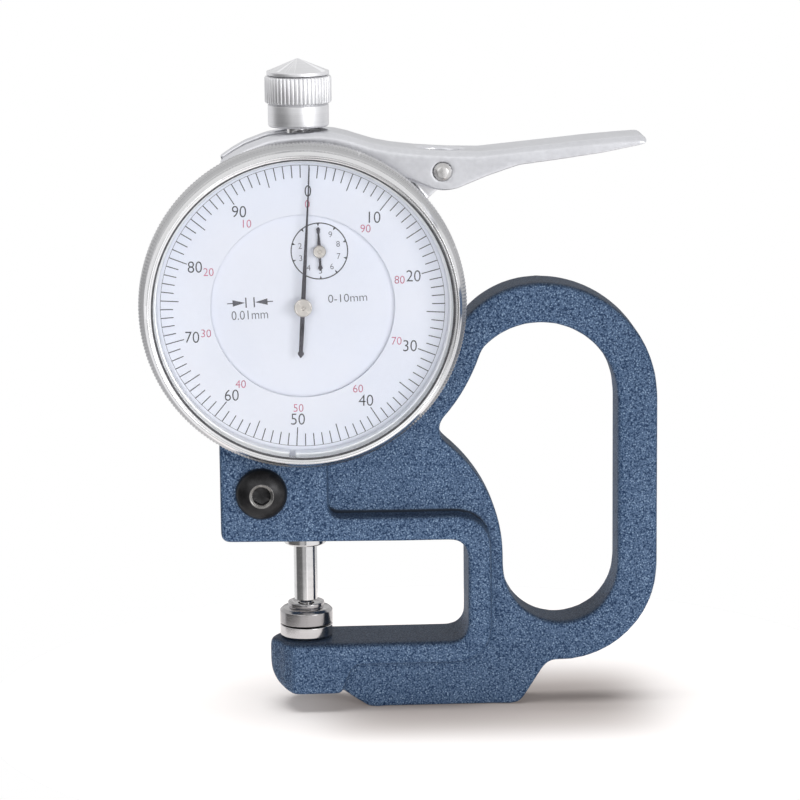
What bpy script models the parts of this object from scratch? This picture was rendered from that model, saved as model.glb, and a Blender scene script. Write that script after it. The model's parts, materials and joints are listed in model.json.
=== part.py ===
"""Dial thickness gauge: a cast frame with a handle carries a dial indicator, whose spindle presses a flat
contact on an anvil. A forked lever on the indicator's case lifts the spindle by its cap. A rack on the
spindle drives a train of real gears, which turns the main pointer once for each millimetre and the counter
pointer once for ten.

All sizes are in millimetres. X runs right along the dial's face, Y away from the viewer and Z up, and the
origin is the middle of the foot's underside. Angles are in degrees, from +X towards +Z."""

import math

import bmesh
import bpy
from mathutils import Matrix, Vector

MILLIMETRE = 0.001

# Clearances, overruns and mesh counts
SEAT_GAP = 0.3
RUNNING_GAP = 0.3
WELD = 0.0001
OVERRUN = 2.0
FINE_STEPS = 44
ROUND_STEPS = 24
PIN_STEPS = 16
SMALL_STEPS = 8
FILLET_STEPS = 4
SHARP_ANGLE = math.radians(32.0)

# Spindle line and dial centre
SPINDLE_X = -26.2
DIAL_Z = 79.2
HAND_LEAN = 3.5
COUNTER_LEAN = -2.5

# Frame casting
RIM_THICK = 15.0
WEB_THICK = 9.0
CAST_EDGE = 0.8
HEAD_LEFT = -42.1
HEAD_RIGHT = -22.0
HEAD_TOP = 62.0
UPPER_ARM_BOTTOM = 33.1
UPPER_BAND_TOP = 37.9
THROAT_RIGHT = 4.3
THROAT_CORNER = 3.0
COLUMN_RIGHT = 8.7
LOWER_ARM_TOP = 13.4
LOWER_BAND_BOTTOM = 9.2
LOWER_ARM_BOTTOM = 4.0
ARM_TIP_REACH = 6.9
ARM_TIP_RADIUS = 8.2
ARM_TIP_CORNER = 4.5
ARM_NOTCH_LEFT = -19.8
ARM_NOTCH_RIGHT = -17.6
COLUMN_CORNER = 6.2
HEAD_CORNER = 1.3
STEP_CORNER = 2.0
FOOT_HALF = 14.2
FOOT_CORNER = 2.4
FOOT_SLANT_TOP = 4.9
FOOT_SLANT_LEFT = -21.0
FOOT_NECK_INSET = 2.4
FOOT_NECK_FILLET = 5.6
GRIP_SPAN = 39.0
GRIP_BAR = 7.6
GRIP_TOP_RADIUS = 22.2
GRIP_TOP_Z = 59.3
GRIP_BOTTOM_RADIUS = 18.4
GRIP_BOTTOM_Z = 27.0
GRIP_SHOULDER_RADIUS = 18.3
GRIP_SHOULDER_END = 140.0
GRIP_ROOT_DROP = 9.7
WEB_BULGE_RADIUS = 28.6
WEB_BULGE_Z = 29.0
CRADLE_GAP = 0.8
CRADLE_BAND = 6.6
NOSE_FILLET = 3.2
HOLE_SHOULDER_FILLET = 4.6

# Clamp of the stem
STEM_WALL = 1.5
STEM_BOTTOM = 31.6
STEM_CHAMFER = 0.45
SLIT_WIDTH = 1.0
CLAMP_OFFSET = 8.2
CLAMP_DROP = 6.05
CLAMP_SHANK_RADIUS = 2.5
CLAMP_HEAD_RADIUS = 4.85
CLAMP_HEAD_HEIGHT = 2.7
CLAMP_SOCKET_FLATS = 3.2
CLAMP_SOCKET_DEPTH = 1.7
CLAMP_FACE_RADIUS = 2.2
CLAMP_CROWN_ANGLES = (56.0, 40.0, 24.0, 8.0)
CLAMP_END_INSET = 0.8

# Anvil and contact
ANVIL_RADIUS = 5.0
ANVIL_HEIGHT = 2.2
ANVIL_EDGE = 0.35
ANVIL_SHANK_RADIUS = 2.0
ANVIL_SHANK_LENGTH = 4.8
CONTACT_SIDE = 2.4
CONTACT_SHOULDER = 0.75
CONTACT_COLLAR_RADIUS = 3.55
CONTACT_COLLAR_HEIGHT = 1.0
CONTACT_DISH = 0.5
CONTACT_STUD_RADIUS = 1.25
CONTACT_STUD_LENGTH = 2.6

# Spindle and cap
SPINDLE_RADIUS = 2.2
TRAVEL = 10.0
CAP_LIFT = 3.0
CAP_COLLAR_RADIUS = 5.65
CAP_COLLAR_HEIGHT = 4.3
CAP_KNURL_RADIUS = 6.2
CAP_KNURL_HEIGHT = 5.2
CAP_FLUTES = 20
CAP_FLUTE_DEPTH = 0.3
CAP_FLUTE_SINK = 0.45
CAP_BRIM_RADIUS = 5.8
CAP_BRIM_HEIGHT = 0.8
CAP_CONE_HEIGHT = 2.3
CAP_BORE_DEPTH = 7.5
CAP_EDGE = 0.5

# Indicator case
CASE_RADIUS = 27.6
CASE_WALL = 2.4
CASE_SHOULDER_Y = -9.7
CASE_FRONT_Y = -11.5
CASE_BACK_Y = 7.5
CASE_NECK_STEP = 1.0
CASE_EDGE = 0.6
LEDGE_WIDTH = 2.0
LEDGE_Y = 4.6
COVER_THICK = 1.2
COVER_INSET = 0.4
COVER_SCREWS = 4
COVER_SCREW_INSET = 2.3
COVER_SCREW_START = 45.0
SCREW_HEAD_RADIUS = 1.6
SCREW_HEAD_HEIGHT = 0.8
SCREW_SHANK_RADIUS = 0.8
SCREW_LENGTH = 2.4
BUSH_WALL = 0.5
BUSH_FLANGE_WIDTH = 0.9
BUSH_FLANGE_HEIGHT = 0.8

# Bezel, crystal and dials
BEZEL_OVERHANG = 2.55
BEZEL_BACK_Y = -10.1
KNURL_FRONT_Y = -14.9
BEZEL_KNURL_STEP = 1.15
BEZEL_FRONT_Y = -18.6
BEZEL_LIP_WIDTH = 1.6
BEZEL_LIP_THICK = 1.1
BEZEL_BEVEL = 0.7
BEZEL_WALL = 0.7
BEZEL_NECK_GAP = 0.4
SEAT_STEP_Y = -12.1
CRYSTAL_THICK = 1.3
CRYSTAL_RING_WIDTH = 1.2
CRYSTAL_RING_NOTCH = 1.2
SCALE_THICK = 0.5
SCALE_WIDTH = 11.1
DIAL_OVERLAP = 1.6
INNER_DIAL_THICK = 0.5
DIAL_FOOT_RADIUS = 0.7
DIAL_FOOT_INSET = 4.5
DIAL_FOOT_ANGLES = (150.0, 330.0)

# Movement plates
PLATE_THICK = 0.8
BACK_PLATE_Y = 3.5
MID_PLATE_Y = -2.8
FRONT_PLATE_Y = -7.7
PLATE_CASE_GAP = 0.4
PLATE_LEDGE_GAP = 0.7
PILLAR_RADIUS = 1.5
PILLAR_STUD_RADIUS = 0.8
PILLAR_INSET = 2.5
PILLAR_ANGLES = (40.0, 180.0, 320.0)
JEWEL_RADIUS = 1.5

# Gear train
WHEEL_TEETH = 60
CENTRE_TEETH = 6
RACK_PINION_TEETH = 12
WHEEL_DISTANCE_SHARE = 0.53
WHEEL_SHIFT = 3.2
WHEEL_THICK = 0.6
WHEEL_Y = -5.3
WHEEL_SPOKES = 4
WHEEL_RIM_WIDTH = 1.3
WHEEL_HUB_RADIUS = 2.0
SPOKE_WIDTH = 1.1
CENTRE_PINION_LENGTH = 2.0
RACK_PINION_LENGTH = 2.2
ARBOR_RADIUS = 0.6
PIVOT_RADIUS = 0.45
TIP_WIDTH_SHARE = 0.18
ROOT_WIDTH_SHARE = 0.56
ADDENDUM_SHARE = 0.90
DEDENDUM_SHARE = 1.25
RACK_SPARE_TEETH = 3

# Spindle guide and springs
GUIDE_PIN_RISE = 7.4
GUIDE_PIN_RADIUS = 0.55
GUIDE_PIN_REACH = 8.2
GUIDE_PIN_ROOT = 0.6
RAIL_X = 3.4
RAIL_THICK = 1.2
RAIL_MARGIN = 1.6
RAIL_WALL = 1.15
RETURN_SPRING_X = 6.6
RETURN_SPRING_RADIUS = 0.85
RETURN_WIRE_RADIUS = 0.22
RETURN_TURNS = 5
RETURN_POINTS = 8
SPRING_POST_RADIUS = 0.8
SPRING_POST_RISE = 2.6
HAIRSPRING_INNER = 1.5
HAIRSPRING_OUTER = 5.9
HAIRSPRING_TURNS = 4
HAIRSPRING_POINTS = 12
HAIRSPRING_WIRE = 0.15
HAIRSPRING_Y = -6.75
HAIRSPRING_STUD_RADIUS = 0.5

# Pointers
POINTER_THICK = 0.25
POINTER_Y = -13.9
POINTER_RIM_GAP = 1.0
POINTER_TAIL = 9.4
POINTER_ROOT_WIDTH = 0.85
POINTER_TAIL_WIDTH = 1.2
POINTER_RING_RADIUS = 1.75
POINTER_HUB_RADIUS = 1.65
POINTER_BARREL_RADIUS = 1.15
POINTER_HUB_HEIGHT = 0.55
POINTER_HUB_FACE_RADIUS = 1.3
COUNTER_POINTER_Y = -12.6
COUNTER_LENGTH = 4.5
COUNTER_TAIL = 3.6
COUNTER_LOZENGE = 0.9
COUNTER_HUB_RADIUS = 1.2
POINTER_TAIL_SHARES = ((-1.0, 0.25), (-0.92, 1.0), (-0.86, 0.7))
POINTER_ARM_SHARES = ((0.0, 1.0), (0.5, 0.7), (1.0, 0.32))
COUNTER_TAIL_SHARES = ((-1.0, 0.28), (-0.87, 1.0), (-0.7, 0.5))
COUNTER_ARM_SHARES = ((0.78, 0.5), (0.9, 1.0), (1.0, 0.28))

# Lever, its bracket, pin and spring
PIVOT_INSET = 1.3
PIVOT_DROP = 4.1
LEVER_WIDTH = 12.0
LEVER_WALL = 1.2
LEVER_EDGE = 0.8
LEVER_FORK_PAST_SPINDLE = 14.7
LEVER_ARM_REACH = 38.0
LEVER_TOP_GAP = 2.7
LEVER_DROP = 3.6
LEVER_CASE_GAP = 1.2
LEVER_CHANNEL_END = 30.0
FORK_SLOT_WIDTH = 6.4
FORK_SLOT_PAST_SPINDLE = 5.4
WEB_HOLE_LENGTH = 8.4
WEB_HOLE_WIDTH = 5.4
LEVER_TOP_LEFT_SHARES = (
    (-1.0, 0.31), (-0.937, 0.525), (-0.883, 0.675), (-0.79, 0.85), (-0.739, 0.90), (-0.643, 0.95),
    (-0.541, 0.956), (-0.48, 0.925), (-0.419, 0.85), (-0.36, 0.75), (-0.303, 0.656), (-0.222, 0.575),
    (-0.112, 0.506),
)
LEVER_TOP_RIGHT_SHARES = (
    (0.034, 0.456), (0.192, 0.4375), (0.4, 0.53), (0.558, 0.6), (0.718, 0.675), (0.90, 0.737), (0.976, 0.755),
    (1.0, 0.69),
)
LEVER_BOTTOM_RIGHT_SHARES = (
    (1.0, 0.60), (0.97, 0.545), (0.785, 0.375), (0.58, 0.24), (0.374, 0.12), (0.22, -0.12),
)
LEVER_EAR_SHARES = ((0.13, -0.65), (0.066, -0.92), (0.005, -1.0), (-0.054, -0.88))
PIN_RADIUS = 1.2
PIN_HEAD_RADIUS = 1.7
PIN_HEAD_HEIGHT = 0.8
PIN_HEAD_ANGLES = (0.0, 25.0, 50.0, 75.0)
BRACKET_TONGUE_WIDTH = 5.0
BRACKET_TONGUE_HALF = 2.3
BRACKET_EYE_RADIUS = 3.1
BRACKET_BASE_WIDTH = 8.6
BRACKET_BASE_THICK = 1.7
BRACKET_BASE_START = 38.0
BRACKET_BASE_END = 61.0
BRACKET_SCREW_ANGLES = (49.5, 57.0)
BRACKET_SCREW_HEAD_RADIUS = 1.1
BRACKET_SCREW_HEAD_HEIGHT = 0.7
BRACKET_SCREW_RADIUS = 0.6
BRACKET_SCREW_DEPTH = 1.6
LEVER_SPRING_RADIUS = 2.2
LEVER_SPRING_WIRE = 0.22
LEVER_SPRING_TURNS = 2
LEVER_SPRING_POINTS = 8
LEVER_SPRING_INSET = 0.45

# Sizes and places that follow from the sizes above
CENTRE_AT = (SPINDLE_X, DIAL_Z)
CASE_INNER_RADIUS = CASE_RADIUS - CASE_WALL
CASE_NECK_RADIUS = CASE_RADIUS - CASE_NECK_STEP
CASE_TOP_Z = DIAL_Z + CASE_RADIUS
LEDGE_INNER_RADIUS = CASE_INNER_RADIUS - LEDGE_WIDTH
COVER_Y = CASE_BACK_Y + SEAT_GAP
COVER_RADIUS = CASE_RADIUS - COVER_INSET
COVER_SCREW_CIRCLE = CASE_RADIUS - COVER_SCREW_INSET
BEZEL_RADIUS = CASE_RADIUS + BEZEL_OVERHANG
BEZEL_RING_RADIUS = BEZEL_RADIUS - BEZEL_KNURL_STEP
BEZEL_LIP_RADIUS = BEZEL_RING_RADIUS - BEZEL_LIP_WIDTH
BEZEL_BORE_RADIUS = BEZEL_RING_RADIUS - BEZEL_WALL
BEZEL_REAR_BORE_RADIUS = CASE_NECK_RADIUS + BEZEL_NECK_GAP
BEZEL_LIP_Y = BEZEL_FRONT_Y + BEZEL_LIP_THICK
CRYSTAL_RADIUS = BEZEL_BORE_RADIUS - SEAT_GAP
CRYSTAL_FRONT_Y = BEZEL_LIP_Y + SEAT_GAP
CRYSTAL_BACK_Y = CRYSTAL_FRONT_Y + CRYSTAL_THICK
CRYSTAL_RING_INNER_RADIUS = CRYSTAL_RADIUS - CRYSTAL_RING_WIDTH
SCALE_INNER_RADIUS = CRYSTAL_RADIUS - SCALE_WIDTH
SCALE_BACK_Y = SEAT_STEP_Y - SEAT_GAP
SCALE_FRONT_Y = SCALE_BACK_Y - SCALE_THICK
INNER_DIAL_RADIUS = SCALE_INNER_RADIUS + DIAL_OVERLAP
INNER_DIAL_Y = SCALE_BACK_Y + SEAT_GAP
DIAL_FOOT_CIRCLE = INNER_DIAL_RADIUS - DIAL_FOOT_INSET
POINTER_LENGTH = CRYSTAL_RING_INNER_RADIUS - POINTER_RIM_GAP
BACK_PLATE_RADIUS = CASE_INNER_RADIUS - PLATE_CASE_GAP
PLATE_RADIUS = LEDGE_INNER_RADIUS - PLATE_LEDGE_GAP
PILLAR_CIRCLE = PLATE_RADIUS - PILLAR_INSET
WHEEL_DISTANCE = PILLAR_CIRCLE * WHEEL_DISTANCE_SHARE
SPRING_POST_Z = DIAL_Z - CASE_INNER_RADIUS + SPRING_POST_RISE
GUIDE_PIN_Z = SPRING_POST_Z + GUIDE_PIN_RISE
PIVOT_X = SPINDLE_X + CASE_RADIUS - PIVOT_INSET
PIVOT_Z = CASE_TOP_Z - PIVOT_DROP
LEVER_FORK_REACH = PIVOT_X - SPINDLE_X + LEVER_FORK_PAST_SPINDLE
LEVER_RISE = PIVOT_DROP + LEVER_CASE_GAP + LEVER_TOP_GAP
CLAMP_X = SPINDLE_X - CLAMP_OFFSET
CLAMP_Z = DIAL_Z - BEZEL_RADIUS - CLAMP_DROP
GRIP_RIGHT = SPINDLE_X + CASE_RADIUS + GRIP_SPAN
GRIP_ROOT_X = SPINDLE_X + CASE_INNER_RADIUS
GRIP_ROOT_Z = DIAL_Z - GRIP_ROOT_DROP
CAP_BOTTOM = CASE_TOP_Z + SEAT_GAP + BUSH_FLANGE_HEIGHT + CAP_LIFT
ANVIL_FACE_Z = LOWER_ARM_TOP + SEAT_GAP + ANVIL_HEIGHT
CONTACT_FACE_Z = ANVIL_FACE_Z + SEAT_GAP
CONTACT_SHOULDER_Z = CONTACT_FACE_Z + CONTACT_SIDE
COLLAR_FOOT_Z = CONTACT_SHOULDER_Z + CONTACT_SHOULDER
COLLAR_TOP_Z = COLLAR_FOOT_Z + CONTACT_COLLAR_HEIGHT
SPINDLE_SHOULDER_Z = COLLAR_TOP_Z + SEAT_GAP
KNURL_Z = CAP_BOTTOM + CAP_COLLAR_HEIGHT
BRIM_Z = KNURL_Z + CAP_KNURL_HEIGHT
CONE_Z = BRIM_Z + CAP_BRIM_HEIGHT
CAP_TOP = CONE_Z + CAP_CONE_HEIGHT
BORE_RADIUS = SPINDLE_RADIUS + RUNNING_GAP
STEM_RADIUS = BORE_RADIUS + STEM_WALL
BUSH_RADIUS = BORE_RADIUS + BUSH_WALL
BUSH_FLANGE_RADIUS = BUSH_RADIUS + BUSH_FLANGE_WIDTH
CRADLE_RADIUS = CASE_RADIUS + CRADLE_GAP
GRIP_TOP_X = GRIP_RIGHT - GRIP_TOP_RADIUS
GRIP_BOTTOM_X = GRIP_RIGHT - GRIP_BOTTOM_RADIUS
FOOT_NECK_RIGHT = GRIP_BOTTOM_X - FOOT_NECK_INSET
WHEEL_RISE = math.sqrt(WHEEL_DISTANCE ** 2 - WHEEL_SHIFT ** 2)
WHEEL_MODULE = 2.0 * WHEEL_DISTANCE / (WHEEL_TEETH + CENTRE_TEETH)
RACK_MODULE = TRAVEL / (math.pi * RACK_PINION_TEETH)
RACK_PINION_RADIUS = RACK_MODULE * RACK_PINION_TEETH / 2.0
RACK_WHEEL_AT = (SPINDLE_X - WHEEL_SHIFT, DIAL_Z - WHEEL_RISE)
COUNTER_WHEEL_AT = (SPINDLE_X + WHEEL_SHIFT, DIAL_Z + WHEEL_RISE)
PIVOT_AT = (PIVOT_X, PIVOT_Z)
GUIDE_PIN_TRACK = GUIDE_PIN_RADIUS + RUNNING_GAP

BODY_ORIGINS = {
    "frame": (0.0, 0.0, 0.0),
    "bezel": (SPINDLE_X, 0.0, DIAL_Z),
    "plunger": (SPINDLE_X, 0.0, CONTACT_FACE_Z),
    "centre_arbor": (SPINDLE_X, 0.0, DIAL_Z),
    "rack_arbor": (RACK_WHEEL_AT[0], 0.0, RACK_WHEEL_AT[1]),
    "counter": (COUNTER_WHEEL_AT[0], 0.0, COUNTER_WHEEL_AT[1]),
    "lever": (PIVOT_X, 0.0, PIVOT_Z),
}

MATERIAL_LOOKS = {
    "blue_paint": ((0.055, 0.125, 0.27), 0.55, 0.1),
    "black_steel": ((0.02, 0.02, 0.022), 0.35, 0.6),
    "polished_steel": ((0.62, 0.61, 0.60), 0.18, 1.0),
    "satin_aluminium": ((0.78, 0.78, 0.80), 0.35, 1.0),
    "chrome": ((0.75, 0.75, 0.76), 0.12, 1.0),
    "brass": ((0.70, 0.50, 0.20), 0.30, 1.0),
    "dial_white": ((0.86, 0.86, 0.92), 0.50, 0.0),
    "crystal_clear": ((0.95, 0.97, 1.0), 0.02, 0.0),
    "pointer_black": ((0.05, 0.05, 0.055), 0.45, 0.2),
    "spring_steel": ((0.45, 0.45, 0.47), 0.30, 1.0),
    "jewel_red": ((0.45, 0.02, 0.08), 0.10, 0.0),
}


def clear_scene():
    """Removes what the scene holds, so that the model starts from nothing."""
    for item in list(bpy.data.objects):
        bpy.data.objects.remove(item)


def material_for(name):
    """Returns the named material, made once, with its colour, roughness and metal from the table."""
    found = bpy.data.materials.get(name)
    if found:
        return found
    colour, roughness, metal = MATERIAL_LOOKS[name]
    material = bpy.data.materials.new(name)
    material.use_nodes = True
    shader = material.node_tree.nodes["Principled BSDF"]
    shader.inputs["Base Color"].default_value = (*colour, 1.0)
    shader.inputs["Roughness"].default_value = roughness
    shader.inputs["Metallic"].default_value = metal
    material.diffuse_color = (*colour, 1.0)
    return material


def body_empty(body):
    """Returns the empty that carries a body's pieces, on the axis that the body moves on."""
    name = "axis_of_" + body
    found = bpy.data.objects.get(name)
    if found:
        return found
    empty = bpy.data.objects.new(name, None)
    empty.location = Vector(BODY_ORIGINS[body]) * MILLIMETRE
    bpy.context.scene.collection.objects.link(empty)
    return empty


def object_from(shape, name, material, body):
    """Turns a bmesh in millimetres into a named object that its body's empty carries."""
    bmesh.ops.translate(shape, verts=shape.verts, vec=-Vector(BODY_ORIGINS[body]))
    bmesh.ops.scale(shape, verts=shape.verts, vec=Vector((MILLIMETRE,) * 3))
    mesh = bpy.data.meshes.new(name)
    shape.to_mesh(mesh)
    shape.free()
    piece = bpy.data.objects.new(name, mesh)
    piece.parent = body_empty(body)
    bpy.context.scene.collection.objects.link(piece)
    mesh.materials.append(material_for(material))
    shade(mesh)
    return piece


def shade(mesh):
    """Shades a mesh smooth, but for the edges that really are corners."""
    mesh.shade_smooth()
    mesh.set_sharp_from_angle(angle=SHARP_ANGLE)


def combine(piece, shape, operation):
    """Cuts a shape from a piece, or joins it on, and keeps the result as the piece's own mesh."""
    origin = piece.parent.location / MILLIMETRE
    bmesh.ops.translate(shape, verts=shape.verts, vec=-origin)
    bmesh.ops.scale(shape, verts=shape.verts, vec=Vector((MILLIMETRE,) * 3))
    mesh = bpy.data.meshes.new("tool")
    shape.to_mesh(mesh)
    shape.free()
    tool = bpy.data.objects.new("tool", mesh)
    tool.parent = piece.parent
    bpy.context.scene.collection.objects.link(tool)
    step = piece.modifiers.new("combine", "BOOLEAN")
    step.operation = operation
    step.solver = "EXACT"
    step.object = tool
    bpy.context.view_layer.update()
    view = bpy.context.evaluated_depsgraph_get()
    result = bpy.data.meshes.new_from_object(piece.evaluated_get(view))
    piece.modifiers.clear()
    old = piece.data
    result.name = piece.name
    piece.data = result
    bpy.data.objects.remove(tool)
    bpy.data.meshes.remove(mesh)
    bpy.data.meshes.remove(old)
    shade(result)
    return piece


def cut(piece, *shapes):
    """Cuts each shape from the piece."""
    for shape in shapes:
        combine(piece, shape, "DIFFERENCE")
    return piece


def join(piece, *shapes):
    """Joins each shape onto the piece, as one closed body."""
    for shape in shapes:
        combine(piece, shape, "UNION")
    return piece


def arc(centre, radius, start, end, steps):
    """Returns points along an arc of a circle, both ends included."""
    points = []
    for step in range(steps + 1):
        angle = math.radians(start + (end - start) * step / steps)
        points.append((centre[0] + radius * math.cos(angle), centre[1] + radius * math.sin(angle)))
    return points


def circle(centre, radius, steps):
    """Returns points round a whole circle."""
    return arc(centre, radius, 0.0, 360.0, steps)[:-1]


def polar(centre, radius, angle):
    """Returns the point at an angle on a circle."""
    turn = math.radians(angle)
    return (centre[0] + radius * math.cos(turn), centre[1] + radius * math.sin(turn))


def rounded(corners):
    """Returns an outline from corners (x, y) that stay sharp and corners (x, y, radius) that are filleted."""
    outline = []
    count = len(corners)
    for index, corner in enumerate(corners):
        here = Vector(corner[:2])
        if len(corner) == 2:
            outline.append(tuple(here))
            continue
        back = (Vector(corners[index - 1][:2]) - here).normalized()
        ahead = (Vector(corners[(index + 1) % count][:2]) - here).normalized()
        half = back.angle(ahead) / 2.0
        reach = corner[2] / math.tan(half)
        centre = here + (back + ahead).normalized() * (corner[2] / math.sin(half))
        start = here + back * reach - centre
        end = here + ahead * reach - centre
        sweep = start.angle_signed(end)
        for step in range(FILLET_STEPS + 1):
            turned = Matrix.Rotation(-sweep * step / FILLET_STEPS, 2) @ start
            outline.append(tuple(centre + turned))
    return outline


def prism(outline, low, high, holes=(), across="XZ"):
    """Extrudes a flat outline, with holes in it, between two heights across its plane."""
    place = {
        "XZ": lambda p: (p[0], low, p[1]),
        "XY": lambda p: (p[0], p[1], low),
        "YZ": lambda p: (low, p[0], p[1]),
    }[across]
    rise = {"XZ": (0.0, high - low, 0.0), "XY": (0.0, 0.0, high - low), "YZ": (high - low, 0.0, 0.0)}[across]
    shape = bmesh.new()
    for loop in (outline, *holes):
        ring = [shape.verts.new(place(point)) for point in loop]
        for index, vert in enumerate(ring):
            shape.edges.new((ring[index - 1], vert))
    bmesh.ops.triangle_fill(shape, use_beauty=True, use_dissolve=False, edges=shape.edges[:])
    raised = bmesh.ops.extrude_face_region(shape, geom=shape.faces[:])["geom"]
    top = [item for item in raised if isinstance(item, bmesh.types.BMVert)]
    bmesh.ops.translate(shape, verts=top, vec=rise)
    bmesh.ops.recalc_face_normals(shape, faces=shape.faces)
    return shape


def ease_edges(shape, width, chosen):
    """Bevels the edges that the test picks, as a cast or worn edge has it."""
    edges = [edge for edge in shape.edges if chosen(edge)]
    bmesh.ops.bevel(shape, geom=edges, offset=width, offset_type="OFFSET", segments=1, profile=0.5,
                    affect="EDGES", clamp_overlap=True)
    bmesh.ops.recalc_face_normals(shape, faces=shape.faces)
    return shape


def is_rim_edge(edge):
    """Says whether an edge of a prism across Y lies where a flat face meets the side."""
    if len(edge.link_faces) != 2:
        return False
    flat = [abs(face.normal.y) > 0.9 for face in edge.link_faces]
    return flat[0] != flat[1]


def turned(profile, steps, at=(0.0, 0.0), along="Y"):
    """Turns a profile of (radius, distance along the axis) points round an axis. A profile that starts and
    ends on the axis is solid, and any other one is a ring."""
    if along == "Y":
        axis, centre, outward = (0.0, 1.0, 0.0), (at[0], 0.0, at[1]), (1.0, 0.0, 0.0)
    elif along == "Z":
        axis, centre, outward = (0.0, 0.0, 1.0), (at[0], at[1], 0.0), (1.0, 0.0, 0.0)
    else:
        axis, centre, outward = (1.0, 0.0, 0.0), (0.0, at[0], at[1]), (0.0, 1.0, 0.0)
    shape = bmesh.new()
    line = []
    for radius, distance in profile:
        place = Vector(centre) + Vector(outward) * radius + Vector(axis) * distance
        line.append(shape.verts.new(place))
    edges = [shape.edges.new((line[index], line[index + 1])) for index in range(len(line) - 1)]
    if profile[0][0] > 0.0:
        edges.append(shape.edges.new((line[-1], line[0])))
    bmesh.ops.spin(shape, geom=line + edges, cent=centre, axis=axis, dvec=(0.0, 0.0, 0.0),
                   angle=2.0 * math.pi, steps=steps, use_merge=True)
    bmesh.ops.remove_doubles(shape, verts=shape.verts, dist=WELD)
    bmesh.ops.recalc_face_normals(shape, faces=shape.faces)
    return shape


def rod(radius, low, high, at=(0.0, 0.0), along="Y", steps=SMALL_STEPS):
    """Returns a plain cylinder between two places along its axis."""
    return turned([(0.0, low), (radius, low), (radius, high), (0.0, high)], steps, at, along)


def ring(inner, outer, low, high, at=(0.0, 0.0), along="Y", steps=ROUND_STEPS):
    """Returns a plain ring between two places along its axis."""
    return turned([(inner, low), (outer, low), (outer, high), (inner, high)], steps, at, along)


def spun_to_radius(shape, angle):
    """Turns a shape that was made along +X about the dial's centre to an angle on the case."""
    turn = Matrix.Rotation(-math.radians(angle), 3, "Y")
    bmesh.ops.rotate(shape, verts=shape.verts, cent=(SPINDLE_X, 0.0, DIAL_Z), matrix=turn)
    return shape


def wire(name, points, radius, material, body):
    """Makes a round wire along the points, closed at both ends."""
    origin = Vector(BODY_ORIGINS[body])
    curve = bpy.data.curves.new(name, "CURVE")
    curve.dimensions = "3D"
    curve.resolution_u = 1
    curve.render_resolution_u = 0
    curve.bevel_depth = radius * MILLIMETRE
    curve.bevel_resolution = 0
    curve.use_fill_caps = True
    spline = curve.splines.new("POLY")
    spline.points.add(len(points) - 1)
    for point, place in zip(spline.points, points):
        point.co = (*((Vector(place) - origin) * MILLIMETRE), 1.0)
    piece = bpy.data.objects.new(name, curve)
    piece.parent = body_empty(body)
    curve.materials.append(material_for(material))
    bpy.context.scene.collection.objects.link(piece)
    return piece


def tooth_widths(module):
    """Returns a tooth's half width at its root and its tip."""
    pitch = math.pi * module
    return pitch * ROOT_WIDTH_SHARE / 2.0, pitch * TIP_WIDTH_SHARE / 2.0


def gear_outline(centre, teeth, module, first_tooth):
    """Returns a gear's outline: straight-sided teeth, thinner than half the pitch, so that they run free."""
    pitch_radius = module * teeth / 2.0
    root = pitch_radius - DEDENDUM_SHARE * module
    tip = pitch_radius + ADDENDUM_SHARE * module
    root_half, tip_half = tooth_widths(module)
    outline = []
    for tooth in range(teeth):
        middle = first_tooth + 360.0 * tooth / teeth
        root_turn = math.degrees(root_half / pitch_radius)
        tip_turn = math.degrees(tip_half / tip)
        outline.append(polar(centre, root, middle - root_turn))
        outline.append(polar(centre, tip, middle - tip_turn))
        outline.append(polar(centre, tip, middle + tip_turn))
        outline.append(polar(centre, root, middle + root_turn))
    return outline


def spoke_windows(centre, inner, outer, start):
    """Returns the openings between a wheel's spokes, each bounded by two arcs."""
    windows = []
    for spoke in range(WHEEL_SPOKES):
        middle = start + 360.0 * (spoke + 0.5) / WHEEL_SPOKES
        outer_half = 180.0 / WHEEL_SPOKES - math.degrees(SPOKE_WIDTH / 2.0 / outer)
        inner_half = 180.0 / WHEEL_SPOKES - math.degrees(SPOKE_WIDTH / 2.0 / inner)
        window = arc(centre, outer, middle - outer_half, middle + outer_half, FILLET_STEPS)
        window += arc(centre, inner, middle + inner_half, middle - inner_half, FILLET_STEPS)
        windows.append(window)
    return windows


def build_casting():
    """The cast frame: a thick C round the throat and the stem's head, and a thinner web with the grip."""
    rim = rounded([
        (HEAD_LEFT, HEAD_TOP),
        (HEAD_LEFT, UPPER_ARM_BOTTOM, HEAD_CORNER),
        (THROAT_RIGHT, UPPER_ARM_BOTTOM, THROAT_CORNER),
        (THROAT_RIGHT, LOWER_ARM_TOP, THROAT_CORNER),
        (SPINDLE_X - ARM_TIP_REACH, LOWER_ARM_TOP, CAST_EDGE),
        (SPINDLE_X - ARM_TIP_REACH, LOWER_ARM_BOTTOM, ARM_TIP_CORNER),
        (ARM_NOTCH_LEFT, LOWER_ARM_BOTTOM, CAST_EDGE),
        (ARM_NOTCH_RIGHT, LOWER_BAND_BOTTOM, STEP_CORNER),
        (COLUMN_RIGHT, LOWER_BAND_BOTTOM, COLUMN_CORNER),
        (COLUMN_RIGHT, UPPER_BAND_TOP, COLUMN_CORNER),
        (HEAD_RIGHT, UPPER_BAND_TOP, STEP_CORNER),
        (HEAD_RIGHT, HEAD_TOP),
    ])
    shape = ease_edges(prism(rim, -RIM_THICK / 2.0, RIM_THICK / 2.0), CAST_EDGE, is_rim_edge)
    casting = object_from(shape, "frame_casting", "blue_paint", "frame")
    web = prism(web_outline(), -WEB_THICK / 2.0, WEB_THICK / 2.0, [grip_hole()])
    join(casting, ease_edges(web, CAST_EDGE, is_rim_edge))
    return cut(casting, cradle_tool(), arm_tip_tool(), stem_bore_tool(), slit_tool(), clamp_hole_tool(),
               anvil_hole_tool())


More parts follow.
